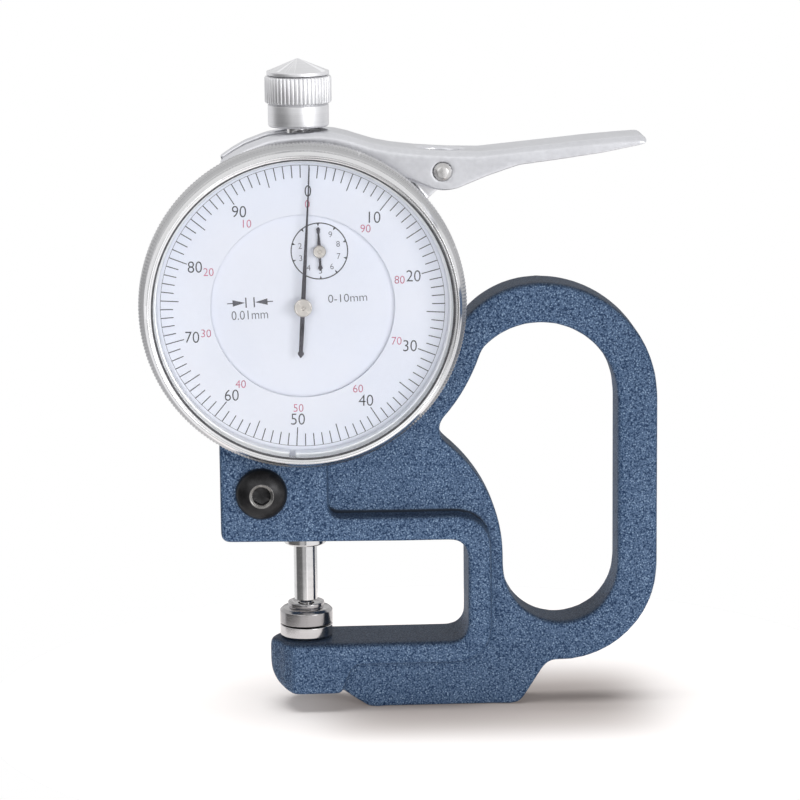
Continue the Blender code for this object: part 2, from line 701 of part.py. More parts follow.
def web_outline():
    """The web's outer outline. Its left part runs inside the thick rim, which it joins."""
    shoulder_x = GRIP_TOP_X
    shoulder_z = GRIP_TOP_Z + GRIP_TOP_RADIUS - GRIP_SHOULDER_RADIUS
    shoulder = arc((shoulder_x, shoulder_z), GRIP_SHOULDER_RADIUS, GRIP_SHOULDER_END, 90.0, 7)
    crown = arc((GRIP_TOP_X, GRIP_TOP_Z), GRIP_TOP_RADIUS, 90.0, 0.0, 14)
    heel = arc((GRIP_BOTTOM_X, GRIP_BOTTOM_Z), GRIP_BOTTOM_RADIUS, 0.0, -90.0, 12)
    middle_x = (THROAT_RIGHT + COLUMN_RIGHT) / 2.0
    upper_z = (UPPER_ARM_BOTTOM + UPPER_BAND_TOP) / 2.0
    lower_z = (LOWER_ARM_TOP + LOWER_BAND_BOTTOM) / 2.0
    head_x = (HEAD_LEFT + HEAD_RIGHT) / 2.0
    neck_z = GRIP_BOTTOM_Z - GRIP_BOTTOM_RADIUS
    return rounded([
        (head_x, upper_z),
        (head_x, DIAL_Z - CASE_INNER_RADIUS),
        (GRIP_ROOT_X, GRIP_ROOT_Z),
        *shoulder,
        *crown[1:],
        *heel,
        (FOOT_NECK_RIGHT, neck_z, FOOT_NECK_FILLET / 2.0),
        (FOOT_HALF, 0.0, FOOT_CORNER),
        (-FOOT_HALF, 0.0, FOOT_CORNER),
        (FOOT_SLANT_LEFT, FOOT_SLANT_TOP),
        (FOOT_SLANT_LEFT, lower_z),
        (middle_x, lower_z),
        (middle_x, upper_z),
    ])


def grip_hole():
    """The finger hole: an arc round the case, a rounded nose, the web's bulge and the grip's inside."""
    inner_top = GRIP_TOP_RADIUS - GRIP_BAR
    inner_bottom = GRIP_BOTTOM_RADIUS - GRIP_BAR
    top_at = (GRIP_TOP_X, GRIP_TOP_Z)
    bottom_at = (GRIP_BOTTOM_X, GRIP_BOTTOM_Z)
    band = CRADLE_RADIUS + CRADLE_BAND
    bulge_at = (GRIP_BOTTOM_X - inner_bottom - WEB_BULGE_RADIUS, WEB_BULGE_Z)
    nose = touching(CENTRE_AT, band + NOSE_FILLET, bulge_at, WEB_BULGE_RADIUS + NOSE_FILLET)
    shoulder = touching(CENTRE_AT, band + HOLE_SHOULDER_FILLET, top_at, inner_top - HOLE_SHOULDER_FILLET)
    outline = arc(top_at, inner_top, 0.0, heading(top_at, shoulder), 12)
    outline += arc(shoulder, HOLE_SHOULDER_FILLET, heading(top_at, shoulder),
                   heading(shoulder, CENTRE_AT), 5)[1:]
    outline += arc(CENTRE_AT, band, heading(CENTRE_AT, shoulder) - 360.0, heading(CENTRE_AT, nose) - 360.0, 8)
    outline += arc(nose, NOSE_FILLET, heading(nose, CENTRE_AT), heading(nose, bulge_at), 5)[1:]
    outline += arc(bulge_at, WEB_BULGE_RADIUS, heading(bulge_at, nose), 0.0, 12)[1:]
    outline += arc(bottom_at, inner_bottom, 180.0, 360.0, 16)
    return outline


def touching(first, first_distance, second, second_distance):
    """Returns the point at given distances from two others, on the left of the way from first to second."""
    start, end = Vector(first), Vector(second)
    way = end - start
    along = (first_distance ** 2 - second_distance ** 2 + way.length_squared) / (2.0 * way.length)
    aside = math.sqrt(first_distance ** 2 - along ** 2)
    forward = way.normalized()
    left = Vector((-forward.y, forward.x))
    return tuple(start + forward * along + left * aside)


def heading(start, end):
    """Returns the angle of the way from one point to another, from 0 to 360."""
    return math.degrees(math.atan2(end[1] - start[1], end[0] - start[0])) % 360.0


def cradle_tool():
    """What the case's place cuts from the casting."""
    return rod(CRADLE_RADIUS, -RIM_THICK, RIM_THICK, CENTRE_AT, steps=FINE_STEPS)


def arm_tip_tool():
    """What rounds the lower arm's end, seen from above."""
    centre = (SPINDLE_X - ARM_TIP_REACH + ARM_TIP_RADIUS, 0.0)
    side = math.degrees(math.acos(ARM_TIP_REACH / ARM_TIP_RADIUS))
    tip = arc(centre, ARM_TIP_RADIUS, 270.0 - side, 90.0 + side, 16)
    reach = SPINDLE_X - ARM_TIP_REACH - OVERRUN
    outline = [*tip, (tip[-1][0], RIM_THICK), (reach, RIM_THICK), (reach, -RIM_THICK),
               (tip[0][0], -RIM_THICK)]
    return prism(outline, LOWER_ARM_BOTTOM - OVERRUN, LOWER_ARM_TOP + OVERRUN, across="XY")


def stem_bore_tool():
    """The bore that the stem is clamped in."""
    low = UPPER_ARM_BOTTOM - OVERRUN
    return rod(STEM_RADIUS + SEAT_GAP, low, HEAD_TOP, (SPINDLE_X, 0.0), "Z", ROUND_STEPS)


def slit_tool():
    """The slit that lets the clamp screw close the bore."""
    half = SLIT_WIDTH / 2.0
    low = HEAD_LEFT - OVERRUN
    outline = [(low, -half), (SPINDLE_X, -half), (SPINDLE_X, half), (low, half)]
    return prism(outline, UPPER_ARM_BOTTOM - OVERRUN, HEAD_TOP, across="XY")


def clamp_hole_tool():
    """The clamp screw's hole, right through the head."""
    reach = RIM_THICK / 2.0 + OVERRUN
    return rod(CLAMP_SHANK_RADIUS + RUNNING_GAP, -reach, reach, (CLAMP_X, CLAMP_Z), steps=SMALL_STEPS)


def anvil_hole_tool():
    """The blind hole for the anvil's shank."""
    bottom = LOWER_ARM_TOP - ANVIL_SHANK_LENGTH - SEAT_GAP
    return rod(ANVIL_SHANK_RADIUS + SEAT_GAP, bottom, LOWER_ARM_TOP + OVERRUN, (SPINDLE_X, 0.0), "Z")


def build_clamp_screw():
    """A button-head screw with a hexagon socket."""
    seat = -RIM_THICK / 2.0 - SEAT_GAP
    face = seat - CLAMP_HEAD_HEIGHT
    end = RIM_THICK / 2.0 - CLAMP_END_INSET
    crown = []
    for angle in CLAMP_CROWN_ANGLES:
        turn = math.radians(angle)
        crown.append((CLAMP_HEAD_RADIUS * math.cos(turn), seat - CLAMP_HEAD_HEIGHT * math.sin(turn)))
    profile = [(0.0, face), (CLAMP_FACE_RADIUS, face), *crown, (CLAMP_HEAD_RADIUS, seat),
               (CLAMP_SHANK_RADIUS, seat), (CLAMP_SHANK_RADIUS, end - CAST_EDGE),
               (CLAMP_SHANK_RADIUS - CAST_EDGE, end), (0.0, end)]
    at = (CLAMP_X, CLAMP_Z)
    screw = object_from(turned(profile, ROUND_STEPS, at), "clamp_screw", "black_steel", "frame")
    corner = CLAMP_SOCKET_FLATS / math.sqrt(3.0)
    hexagon = circle(at, corner, 6)
    return cut(screw, prism(hexagon, face - OVERRUN, face + CLAMP_SOCKET_DEPTH))


def build_anvil():
    """The lower anvil: a lapped disc on a shank."""
    foot = ANVIL_FACE_Z - ANVIL_HEIGHT
    shank = foot - ANVIL_SHANK_LENGTH
    half_edge = ANVIL_EDGE / 2.0
    profile = [(0.0, shank), (ANVIL_SHANK_RADIUS, shank), (ANVIL_SHANK_RADIUS, foot),
               (ANVIL_RADIUS - ANVIL_EDGE, foot), (ANVIL_RADIUS, foot + ANVIL_EDGE),
               (ANVIL_RADIUS, ANVIL_FACE_Z - half_edge), (ANVIL_RADIUS - half_edge, ANVIL_FACE_Z),
               (0.0, ANVIL_FACE_Z)]
    shape = turned(profile, ROUND_STEPS, (SPINDLE_X, 0.0), "Z")
    return object_from(shape, "anvil", "polished_steel", "frame")


def build_contact():
    """The spindle's contact: a lapped disc with a domed shoulder and a dished collar."""
    edge = ANVIL_EDGE / 2.0
    hole = CONTACT_STUD_RADIUS + SEAT_GAP
    bottom = SPINDLE_SHOULDER_Z - CONTACT_STUD_LENGTH - SEAT_GAP
    rim = CONTACT_COLLAR_RADIUS - edge * 2.0
    neck = CONTACT_COLLAR_RADIUS - edge
    profile = [(0.0, CONTACT_FACE_Z), (ANVIL_RADIUS - edge, CONTACT_FACE_Z),
               (ANVIL_RADIUS, CONTACT_FACE_Z + edge), (ANVIL_RADIUS, CONTACT_SHOULDER_Z),
               (ANVIL_RADIUS - edge, CONTACT_SHOULDER_Z + edge * 2.0),
               (neck, COLLAR_FOOT_Z - edge), (neck, COLLAR_FOOT_Z),
               (CONTACT_COLLAR_RADIUS, COLLAR_FOOT_Z + edge),
               (CONTACT_COLLAR_RADIUS, COLLAR_TOP_Z - edge * 2.0), (rim, COLLAR_TOP_Z),
               (SPINDLE_RADIUS + SEAT_GAP, COLLAR_TOP_Z - CONTACT_DISH), (hole, COLLAR_TOP_Z - CONTACT_DISH),
               (hole, bottom), (0.0, bottom)]
    shape = turned(profile, ROUND_STEPS, (SPINDLE_X, 0.0), "Z")
    return object_from(shape, "contact_tip", "polished_steel", "plunger")


def build_spindle():
    """The spindle, with the stud for its contact below, the rack on its left and the cap's seat on top."""
    top = CAP_BOTTOM + CAP_BORE_DEPTH - SEAT_GAP
    foot = SPINDLE_SHOULDER_Z - CONTACT_STUD_LENGTH
    profile = [(0.0, foot), (CONTACT_STUD_RADIUS, foot), (CONTACT_STUD_RADIUS, SPINDLE_SHOULDER_Z),
               (SPINDLE_RADIUS, SPINDLE_SHOULDER_Z), (SPINDLE_RADIUS, top), (0.0, top)]
    shape = turned(profile, ROUND_STEPS, (SPINDLE_X, 0.0), "Z")
    spindle = object_from(shape, "spindle", "polished_steel", "plunger")
    cut(spindle, prism(rack_tool_outline(), -SPINDLE_RADIUS - OVERRUN, SPINDLE_RADIUS + OVERRUN))
    hole = rod(GUIDE_PIN_RADIUS + SEAT_GAP, SPINDLE_X + GUIDE_PIN_ROOT - SEAT_GAP,
               SPINDLE_X + SPINDLE_RADIUS + OVERRUN, (0.0, GUIDE_PIN_Z), "X")
    return cut(spindle, hole)


def rack_tool_outline():
    """What is cut from the spindle to leave the rack: its right side follows the teeth."""
    pitch = math.pi * RACK_MODULE
    pitch_x = RACK_WHEEL_AT[0] + RACK_PINION_RADIUS
    tip_x = pitch_x - ADDENDUM_SHARE * RACK_MODULE
    root_x = pitch_x + DEDENDUM_SHARE * RACK_MODULE
    root_half, tip_half = tooth_widths(RACK_MODULE)
    below = int(TRAVEL / pitch) + RACK_SPARE_TEETH
    bottom = RACK_WHEEL_AT[1] - pitch * (below + 0.5)
    line = []
    for tooth in range(below + RACK_SPARE_TEETH + 1):
        middle = bottom + pitch * tooth
        line += [(root_x, middle - root_half), (tip_x, middle - tip_half), (tip_x, middle + tip_half),
                 (root_x, middle + root_half)]
    line = line[1:-1]
    outside = SPINDLE_X - SPINDLE_RADIUS - OVERRUN
    return [(outside, line[0][1]), *line, (outside, line[-1][1])]


def build_cap():
    """The lifting cap: a collar, a knurled band, a brim and a low cone."""
    bore = BORE_RADIUS
    flute_root = CAP_KNURL_RADIUS - CAP_FLUTE_DEPTH
    profile = [(bore, CAP_BOTTOM), (CAP_COLLAR_RADIUS - CAP_EDGE, CAP_BOTTOM),
               (CAP_COLLAR_RADIUS, CAP_BOTTOM + CAP_EDGE), (CAP_COLLAR_RADIUS, KNURL_Z),
               (flute_root, KNURL_Z + CAP_FLUTE_DEPTH), (flute_root, BRIM_Z), (CAP_BRIM_RADIUS, BRIM_Z),
               (CAP_BRIM_RADIUS, CONE_Z), (CAP_EDGE, CAP_TOP), (0.0, CAP_TOP)]
    inside = [(0.0, CAP_BOTTOM + CAP_BORE_DEPTH), (bore, CAP_BOTTOM + CAP_BORE_DEPTH)]
    shape = turned([*inside, *profile], ROUND_STEPS, (SPINDLE_X, 0.0), "Z")
    cap = object_from(shape, "lifting_cap", "satin_aluminium", "plunger")
    outline = []
    for flute in range(CAP_FLUTES):
        middle = 360.0 * flute / CAP_FLUTES
        quarter = 90.0 / CAP_FLUTES
        valley = CAP_KNURL_RADIUS - CAP_FLUTE_SINK
        outline.append(polar((SPINDLE_X, 0.0), valley, middle - 2.0 * quarter))
        outline.append(polar((SPINDLE_X, 0.0), CAP_KNURL_RADIUS, middle - quarter))
        outline.append(polar((SPINDLE_X, 0.0), CAP_KNURL_RADIUS, middle + quarter))
    edge = CAP_FLUTE_DEPTH
    bore_ring = circle((SPINDLE_X, 0.0), bore + edge, SMALL_STEPS)
    band = prism(outline, KNURL_Z + edge, BRIM_Z - edge / 3.0, [bore_ring], across="XY")
    return join(cap, band)


def build_guide_pin():
    """The pin that keeps the spindle from turning and that the return spring pulls."""
    root, end = SPINDLE_X + GUIDE_PIN_ROOT, SPINDLE_X + GUIDE_PIN_REACH
    shape = rod(GUIDE_PIN_RADIUS, root, end, (0.0, GUIDE_PIN_Z), "X")
    return object_from(shape, "guide_pin", "polished_steel", "plunger")


def build_case():
    """The indicator's case: a turned ring with a neck for the bezel and a ledge for the movement."""
    profile = [(CASE_INNER_RADIUS, CASE_FRONT_Y), (CASE_NECK_RADIUS, CASE_FRONT_Y),
               (CASE_NECK_RADIUS, CASE_SHOULDER_Y), (CASE_RADIUS - CASE_EDGE, CASE_SHOULDER_Y),
               (CASE_RADIUS, CASE_SHOULDER_Y + CASE_EDGE), (CASE_RADIUS, CASE_BACK_Y - CASE_EDGE),
               (CASE_RADIUS - CASE_EDGE, CASE_BACK_Y),
               (LEDGE_INNER_RADIUS, CASE_BACK_Y), (LEDGE_INNER_RADIUS, LEDGE_Y), (CASE_INNER_RADIUS, LEDGE_Y)]
    shape = turned(profile, FINE_STEPS, CENTRE_AT)
    case = object_from(shape, "indicator_case", "satin_aluminium", "frame")
    low, high = DIAL_Z - CASE_RADIUS - OVERRUN, DIAL_Z - CASE_INNER_RADIUS + OVERRUN
    cut(case, rod(STEM_RADIUS + SEAT_GAP, low, high, (SPINDLE_X, 0.0), "Z"))
    low, high = DIAL_Z + CASE_INNER_RADIUS - OVERRUN, DIAL_Z + CASE_RADIUS + OVERRUN
    cut(case, rod(BUSH_RADIUS + SEAT_GAP, low, high, (SPINDLE_X, 0.0), "Z"))
    for place in cover_screw_places():
        cut(case, rod(SCREW_SHANK_RADIUS + SEAT_GAP, LEDGE_Y - OVERRUN / 2.0, CASE_BACK_Y + OVERRUN, place))
    for angle in BRACKET_SCREW_ANGLES:
        hole = rod(BRACKET_SCREW_RADIUS + SEAT_GAP, SPINDLE_X + CASE_INNER_RADIUS - OVERRUN,
                   SPINDLE_X + CASE_RADIUS + OVERRUN, (0.0, DIAL_Z), "X")
        cut(case, spun_to_radius(hole, angle))
    return case


def cover_screw_places():
    """Where the back cover's screws are."""
    step = 360.0 / COVER_SCREWS
    return [polar(CENTRE_AT, COVER_SCREW_CIRCLE, COVER_SCREW_START + step * i) for i in range(COVER_SCREWS)]


def build_stem():
    """The stem that the frame clamps, with the spindle's lower bore."""
    top = DIAL_Z - CASE_INNER_RADIUS + SEAT_GAP
    profile = [(BORE_RADIUS, STEM_BOTTOM), (STEM_RADIUS - STEM_CHAMFER, STEM_BOTTOM),
               (STEM_RADIUS, STEM_BOTTOM + STEM_CHAMFER), (STEM_RADIUS, top), (BORE_RADIUS, top)]
    shape = turned(profile, ROUND_STEPS, (SPINDLE_X, 0.0), "Z")
    return object_from(shape, "stem_bush", "polished_steel", "frame")


def build_upper_bush():
    """The upper bush, which guides the spindle's top."""
    bottom = DIAL_Z + CASE_INNER_RADIUS - SEAT_GAP
    seat = CASE_TOP_Z + SEAT_GAP
    top = seat + BUSH_FLANGE_HEIGHT
    profile = [(BORE_RADIUS, bottom), (BUSH_RADIUS, bottom), (BUSH_RADIUS, seat), (BUSH_FLANGE_RADIUS, seat),
               (BUSH_FLANGE_RADIUS, top), (BORE_RADIUS, top)]
    shape = turned(profile, ROUND_STEPS, (SPINDLE_X, 0.0), "Z")
    return object_from(shape, "upper_bush", "polished_steel", "frame")


def build_back_cover():
    """The back cover with its screw holes, and the screws."""
    back = COVER_Y + COVER_THICK
    profile = [(0.0, COVER_Y), (COVER_RADIUS, COVER_Y), (COVER_RADIUS, back - CASE_EDGE),
               (COVER_RADIUS - CASE_EDGE, back), (0.0, back)]
    cover = object_from(turned(profile, FINE_STEPS, CENTRE_AT), "back_cover", "satin_aluminium", "frame")
    for index, place in enumerate(cover_screw_places(), start=1):
        cut(cover, rod(SCREW_SHANK_RADIUS + SEAT_GAP, COVER_Y - OVERRUN, back + OVERRUN, place))
        seat = back + SEAT_GAP
        end = seat - COVER_THICK - SCREW_LENGTH
        profile = [(0.0, end), (SCREW_SHANK_RADIUS, end), (SCREW_SHANK_RADIUS, seat),
                   (SCREW_HEAD_RADIUS, seat), (SCREW_HEAD_RADIUS, seat + SCREW_HEAD_HEIGHT / 2.0),
                   (SCREW_HEAD_RADIUS - SCREW_HEAD_HEIGHT / 2.0, seat + SCREW_HEAD_HEIGHT),
                   (0.0, seat + SCREW_HEAD_HEIGHT)]
        object_from(turned(profile, PIN_STEPS, place), f"cover_screw_{index}", "polished_steel", "frame")


def build_bezel():
    """The bezel: a grip band at the back, a stepped bright ring and a lip over the crystal."""
    lip, outer, bevel = BEZEL_LIP_RADIUS, BEZEL_RING_RADIUS, BEZEL_BEVEL
    profile = [(lip, BEZEL_LIP_Y), (lip, BEZEL_FRONT_Y + bevel / 2.0), (lip + bevel / 2.0, BEZEL_FRONT_Y),
               (outer - bevel, BEZEL_FRONT_Y), (outer, BEZEL_FRONT_Y + bevel), (outer, KNURL_FRONT_Y),
               (BEZEL_RADIUS, KNURL_FRONT_Y + CASE_EDGE / 2.0), (BEZEL_RADIUS, BEZEL_BACK_Y - CASE_EDGE),
               (BEZEL_RADIUS - CASE_EDGE, BEZEL_BACK_Y), (BEZEL_REAR_BORE_RADIUS, BEZEL_BACK_Y),
               (BEZEL_REAR_BORE_RADIUS, SEAT_STEP_Y), (BEZEL_BORE_RADIUS, SEAT_STEP_Y),
               (BEZEL_BORE_RADIUS, BEZEL_LIP_Y)]
    return object_from(turned(profile, FINE_STEPS, CENTRE_AT), "bezel_ring", "chrome", "bezel")


def build_crystal():
    """The flat crystal and the split ring that holds it against the bezel's lip."""
    disc = rod(CRYSTAL_RADIUS, CRYSTAL_FRONT_Y, CRYSTAL_BACK_Y, CENTRE_AT, steps=FINE_STEPS)
    object_from(disc, "crystal", "crystal_clear", "bezel")
    low, high = CRYSTAL_BACK_Y + SEAT_GAP, SCALE_FRONT_Y - SEAT_GAP
    shape = ring(CRYSTAL_RING_INNER_RADIUS, CRYSTAL_RADIUS, low, high, CENTRE_AT, steps=FINE_STEPS)
    holder = object_from(shape, "crystal_ring", "satin_aluminium", "bezel")
    half = CRYSTAL_RING_NOTCH / 2.0
    x = SPINDLE_X - CRYSTAL_RING_NOTCH * 2.0
    low_z, high_z = DIAL_Z - CRYSTAL_RADIUS - OVERRUN, DIAL_Z - CRYSTAL_RING_INNER_RADIUS + OVERRUN
    gap = [(x - half, low_z), (x + half, low_z), (x + half, high_z), (x - half, high_z)]
    return cut(holder, prism(gap, low - OVERRUN, high + OVERRUN))


def build_scale_ring():
    """The turning outer dial, which carries the hundredths."""
    shape = ring(SCALE_INNER_RADIUS, CRYSTAL_RADIUS, SCALE_FRONT_Y, SCALE_BACK_Y, CENTRE_AT, steps=FINE_STEPS)
    return object_from(shape, "scale_ring", "dial_white", "bezel")


def build_inner_dial():
    """The fixed inner dial, with holes for both pointer arbors and two feet in the front plate."""
    back = INNER_DIAL_Y + INNER_DIAL_THICK
    bore = ARBOR_RADIUS + RUNNING_GAP
    holes = [circle(place, bore, SMALL_STEPS) for place in (CENTRE_AT, COUNTER_WHEEL_AT)]
    shape = prism(circle(CENTRE_AT, INNER_DIAL_RADIUS, FINE_STEPS), INNER_DIAL_Y, back, holes)
    dial = object_from(shape, "inner_dial", "dial_white", "frame")
    for angle in DIAL_FOOT_ANGLES:
        place = polar(CENTRE_AT, DIAL_FOOT_CIRCLE, angle)
        join(dial, rod(DIAL_FOOT_RADIUS, back - INNER_DIAL_THICK / 2.0, FRONT_PLATE_Y, place))
    return dial


def plate(name, radius, low, holes):
    """Makes a round movement plate, with holes given as (place, radius)."""
    openings = [circle(place, size, SMALL_STEPS) for place, size in holes]
    shape = prism(circle(CENTRE_AT, radius, ROUND_STEPS), low, low + PLATE_THICK, openings)
    return object_from(shape, name, "brass", "frame")


def pillar_places():
    """Where the pillars between the movement's plates stand."""
    return [polar(CENTRE_AT, PILLAR_CIRCLE, angle) for angle in PILLAR_ANGLES]


def build_plates():
    """The movement's three plates, its pillars and screws, and the jewels that the arbors run in."""
    stud = PILLAR_STUD_RADIUS + SEAT_GAP
    jewel = JEWEL_RADIUS + SEAT_GAP
    stud_holes = [(place, stud) for place in pillar_places()]
    pivot = PIVOT_RADIUS + RUNNING_GAP
    arbor = ARBOR_RADIUS + RUNNING_GAP
    front_low = FRONT_PLATE_Y - PLATE_THICK
    mid_low = MID_PLATE_Y - PLATE_THICK
    feet = [(polar(CENTRE_AT, DIAL_FOOT_CIRCLE, a), DIAL_FOOT_RADIUS + SEAT_GAP) for a in DIAL_FOOT_ANGLES]
    plate("back_plate", BACK_PLATE_RADIUS, BACK_PLATE_Y, [*stud_holes, (RACK_WHEEL_AT, pivot)])
    plate("mid_plate", PLATE_RADIUS, mid_low,
          [*stud_holes, (CENTRE_AT, jewel), (COUNTER_WHEEL_AT, jewel), (RACK_WHEEL_AT, arbor)])
    plate("front_plate", PLATE_RADIUS, front_low,
          [*stud_holes, *feet, (CENTRE_AT, jewel), (COUNTER_WHEEL_AT, jewel), (RACK_WHEEL_AT, jewel)])
    jewels = [(CENTRE_AT, front_low, arbor), (COUNTER_WHEEL_AT, front_low, arbor),
              (RACK_WHEEL_AT, front_low, pivot), (CENTRE_AT, mid_low, pivot),
              (COUNTER_WHEEL_AT, mid_low, pivot)]
    for index, (place, low, bore) in enumerate(jewels, start=1):
        shape = ring(bore, JEWEL_RADIUS, low, low + PLATE_THICK, place, steps=SMALL_STEPS)
        object_from(shape, f"jewel_bearing_{index}", "jewel_red", "frame")
    build_pillars(front_low, mid_low)


def build_pillars(front_low, mid_low):
    """The pillars: each rear one has a stud at both ends, and each front one a socket and a stud."""
    rear_low, rear_high = MID_PLATE_Y + SEAT_GAP, BACK_PLATE_Y - SEAT_GAP
    front_high, front_end = mid_low - SEAT_GAP, FRONT_PLATE_Y + SEAT_GAP
    stud, full = PILLAR_STUD_RADIUS, PILLAR_RADIUS
    socket = stud + SEAT_GAP
    socket_end = front_high - PLATE_THICK
    for index, place in enumerate(pillar_places(), start=1):
        rear = [(0.0, front_high - PLATE_THICK + SEAT_GAP), (stud, front_high - PLATE_THICK + SEAT_GAP),
                (stud, rear_low), (full, rear_low), (full, rear_high), (stud, rear_high),
                (stud, BACK_PLATE_Y + PLATE_THICK - SEAT_GAP), (0.0, BACK_PLATE_Y + PLATE_THICK - SEAT_GAP)]
        object_from(turned(rear, SMALL_STEPS, place), f"rear_pillar_{index}", "brass", "frame")
        front = [(0.0, front_end + PLATE_THICK), (socket, front_end + PLATE_THICK), (socket, front_end),
                 (full, front_end), (full, front_high), (socket, front_high), (socket, socket_end),
                 (0.0, socket_end)]
        object_from(turned(front, SMALL_STEPS, place), f"front_pillar_{index}", "brass", "frame")
        seat = front_low - SEAT_GAP
        screw = [(0.0, seat - SCREW_HEAD_HEIGHT), (SCREW_HEAD_RADIUS, seat - SCREW_HEAD_HEIGHT),
                 (SCREW_HEAD_RADIUS, seat), (stud, seat), (stud, front_end + SEAT_GAP),
                 (0.0, front_end + SEAT_GAP)]
        object_from(turned(screw, SMALL_STEPS, place), f"plate_screw_{index}", "polished_steel", "frame")


def build_wheel(name, at, body, first_tooth):
    """A gear wheel with spokes, on its arbor."""
    root = WHEEL_MODULE * WHEEL_TEETH / 2.0 - DEDENDUM_SHARE * WHEEL_MODULE
    windows = spoke_windows(at, WHEEL_HUB_RADIUS, root - WHEEL_RIM_WIDTH, first_tooth)
    bore = circle(at, ARBOR_RADIUS + SEAT_GAP, SMALL_STEPS)
    outline = gear_outline(at, WHEEL_TEETH, WHEEL_MODULE, first_tooth)
    low = WHEEL_Y - WHEEL_THICK / 2.0
    shape = prism(outline, low, low + WHEEL_THICK, [*windows, bore])
    return object_from(shape, name, "brass", body)


def build_arbor(name, at, body, low, high, gear=None):
    """An arbor with thinner pivots at the ends given, and a pinion cut from the same bar."""
    profile = [(0.0, low[0]), (low[1], low[0]), (low[1], low[2]), (ARBOR_RADIUS, low[2]),
               (ARBOR_RADIUS, high[2]),
               (high[1], high[2]), (high[1], high[0]), (0.0, high[0])]
    arbor = object_from(turned(profile, SMALL_STEPS, at), name, "polished_steel", body)
    if gear:
        outline, start, end = gear
        join(arbor, prism(outline, start, end))
    return arbor


def build_train():
    """The gear train: rack pinion and wheel, centre pinion, and the counter's wheel with its hairspring."""
    front_low = FRONT_PLATE_Y - PLATE_THICK
    mid_low = MID_PLATE_Y - PLATE_THICK
    to_centre = heading(RACK_WHEEL_AT, CENTRE_AT)
    centre_first = to_centre + 180.0 + 180.0 / CENTRE_TEETH
    to_counter = heading(CENTRE_AT, COUNTER_WHEEL_AT)
    offset = (centre_first - to_counter) % (360.0 / CENTRE_TEETH)
    counter_first = to_counter + 180.0 - offset * CENTRE_TEETH / WHEEL_TEETH + 180.0 / WHEEL_TEETH
    build_wheel("rack_wheel", RACK_WHEEL_AT, "rack_arbor", to_centre)
    build_wheel("counter_wheel", COUNTER_WHEEL_AT, "counter", counter_first)
    half = RACK_PINION_LENGTH / 2.0
    rack_gear = gear_outline(RACK_WHEEL_AT, RACK_PINION_TEETH, RACK_MODULE, 0.0)
    back_end = BACK_PLATE_Y + PLATE_THICK
    build_arbor("rack_pinion", RACK_WHEEL_AT, "rack_arbor",
                (front_low, PIVOT_RADIUS, FRONT_PLATE_Y + SEAT_GAP),
                (back_end, PIVOT_RADIUS, BACK_PLATE_Y - SEAT_GAP), (rack_gear, -half, half))
    centre_gear = gear_outline(CENTRE_AT, CENTRE_TEETH, WHEEL_MODULE, centre_first)
    half = CENTRE_PINION_LENGTH / 2.0
    hand_end = POINTER_Y - POINTER_THICK - SEAT_GAP
    build_arbor("centre_pinion", CENTRE_AT, "centre_arbor",
                (hand_end, PIVOT_RADIUS, POINTER_Y + POINTER_THICK),
                (MID_PLATE_Y, PIVOT_RADIUS, mid_low - SEAT_GAP),
                (centre_gear, WHEEL_Y - half, WHEEL_Y + half))
    counter_end = COUNTER_POINTER_Y - POINTER_THICK
    build_arbor("counter_arbor", COUNTER_WHEEL_AT, "counter",
                (counter_end, PIVOT_RADIUS, COUNTER_POINTER_Y + POINTER_THICK),
                (MID_PLATE_Y, PIVOT_RADIUS, mid_low - SEAT_GAP))
    spiral = []
    count = HAIRSPRING_TURNS * HAIRSPRING_POINTS
    for step in range(count + 1):
        share = step / count
        radius = HAIRSPRING_INNER + (HAIRSPRING_OUTER - HAIRSPRING_INNER) * share
        x, z = polar(COUNTER_WHEEL_AT, radius, 360.0 * HAIRSPRING_TURNS * share)
        spiral.append((x, HAIRSPRING_Y, z))
    wire("hairspring", spiral, HAIRSPRING_WIRE, "spring_steel", "frame")
    reach = HAIRSPRING_OUTER + HAIRSPRING_WIRE + HAIRSPRING_STUD_RADIUS + SEAT_GAP
    stud = rod(HAIRSPRING_STUD_RADIUS, FRONT_PLATE_Y + SEAT_GAP, HAIRSPRING_Y + HAIRSPRING_WIRE,
               (COUNTER_WHEEL_AT[0] + reach, COUNTER_WHEEL_AT[1]))
    object_from(stud, "hairspring_stud", "brass", "frame")


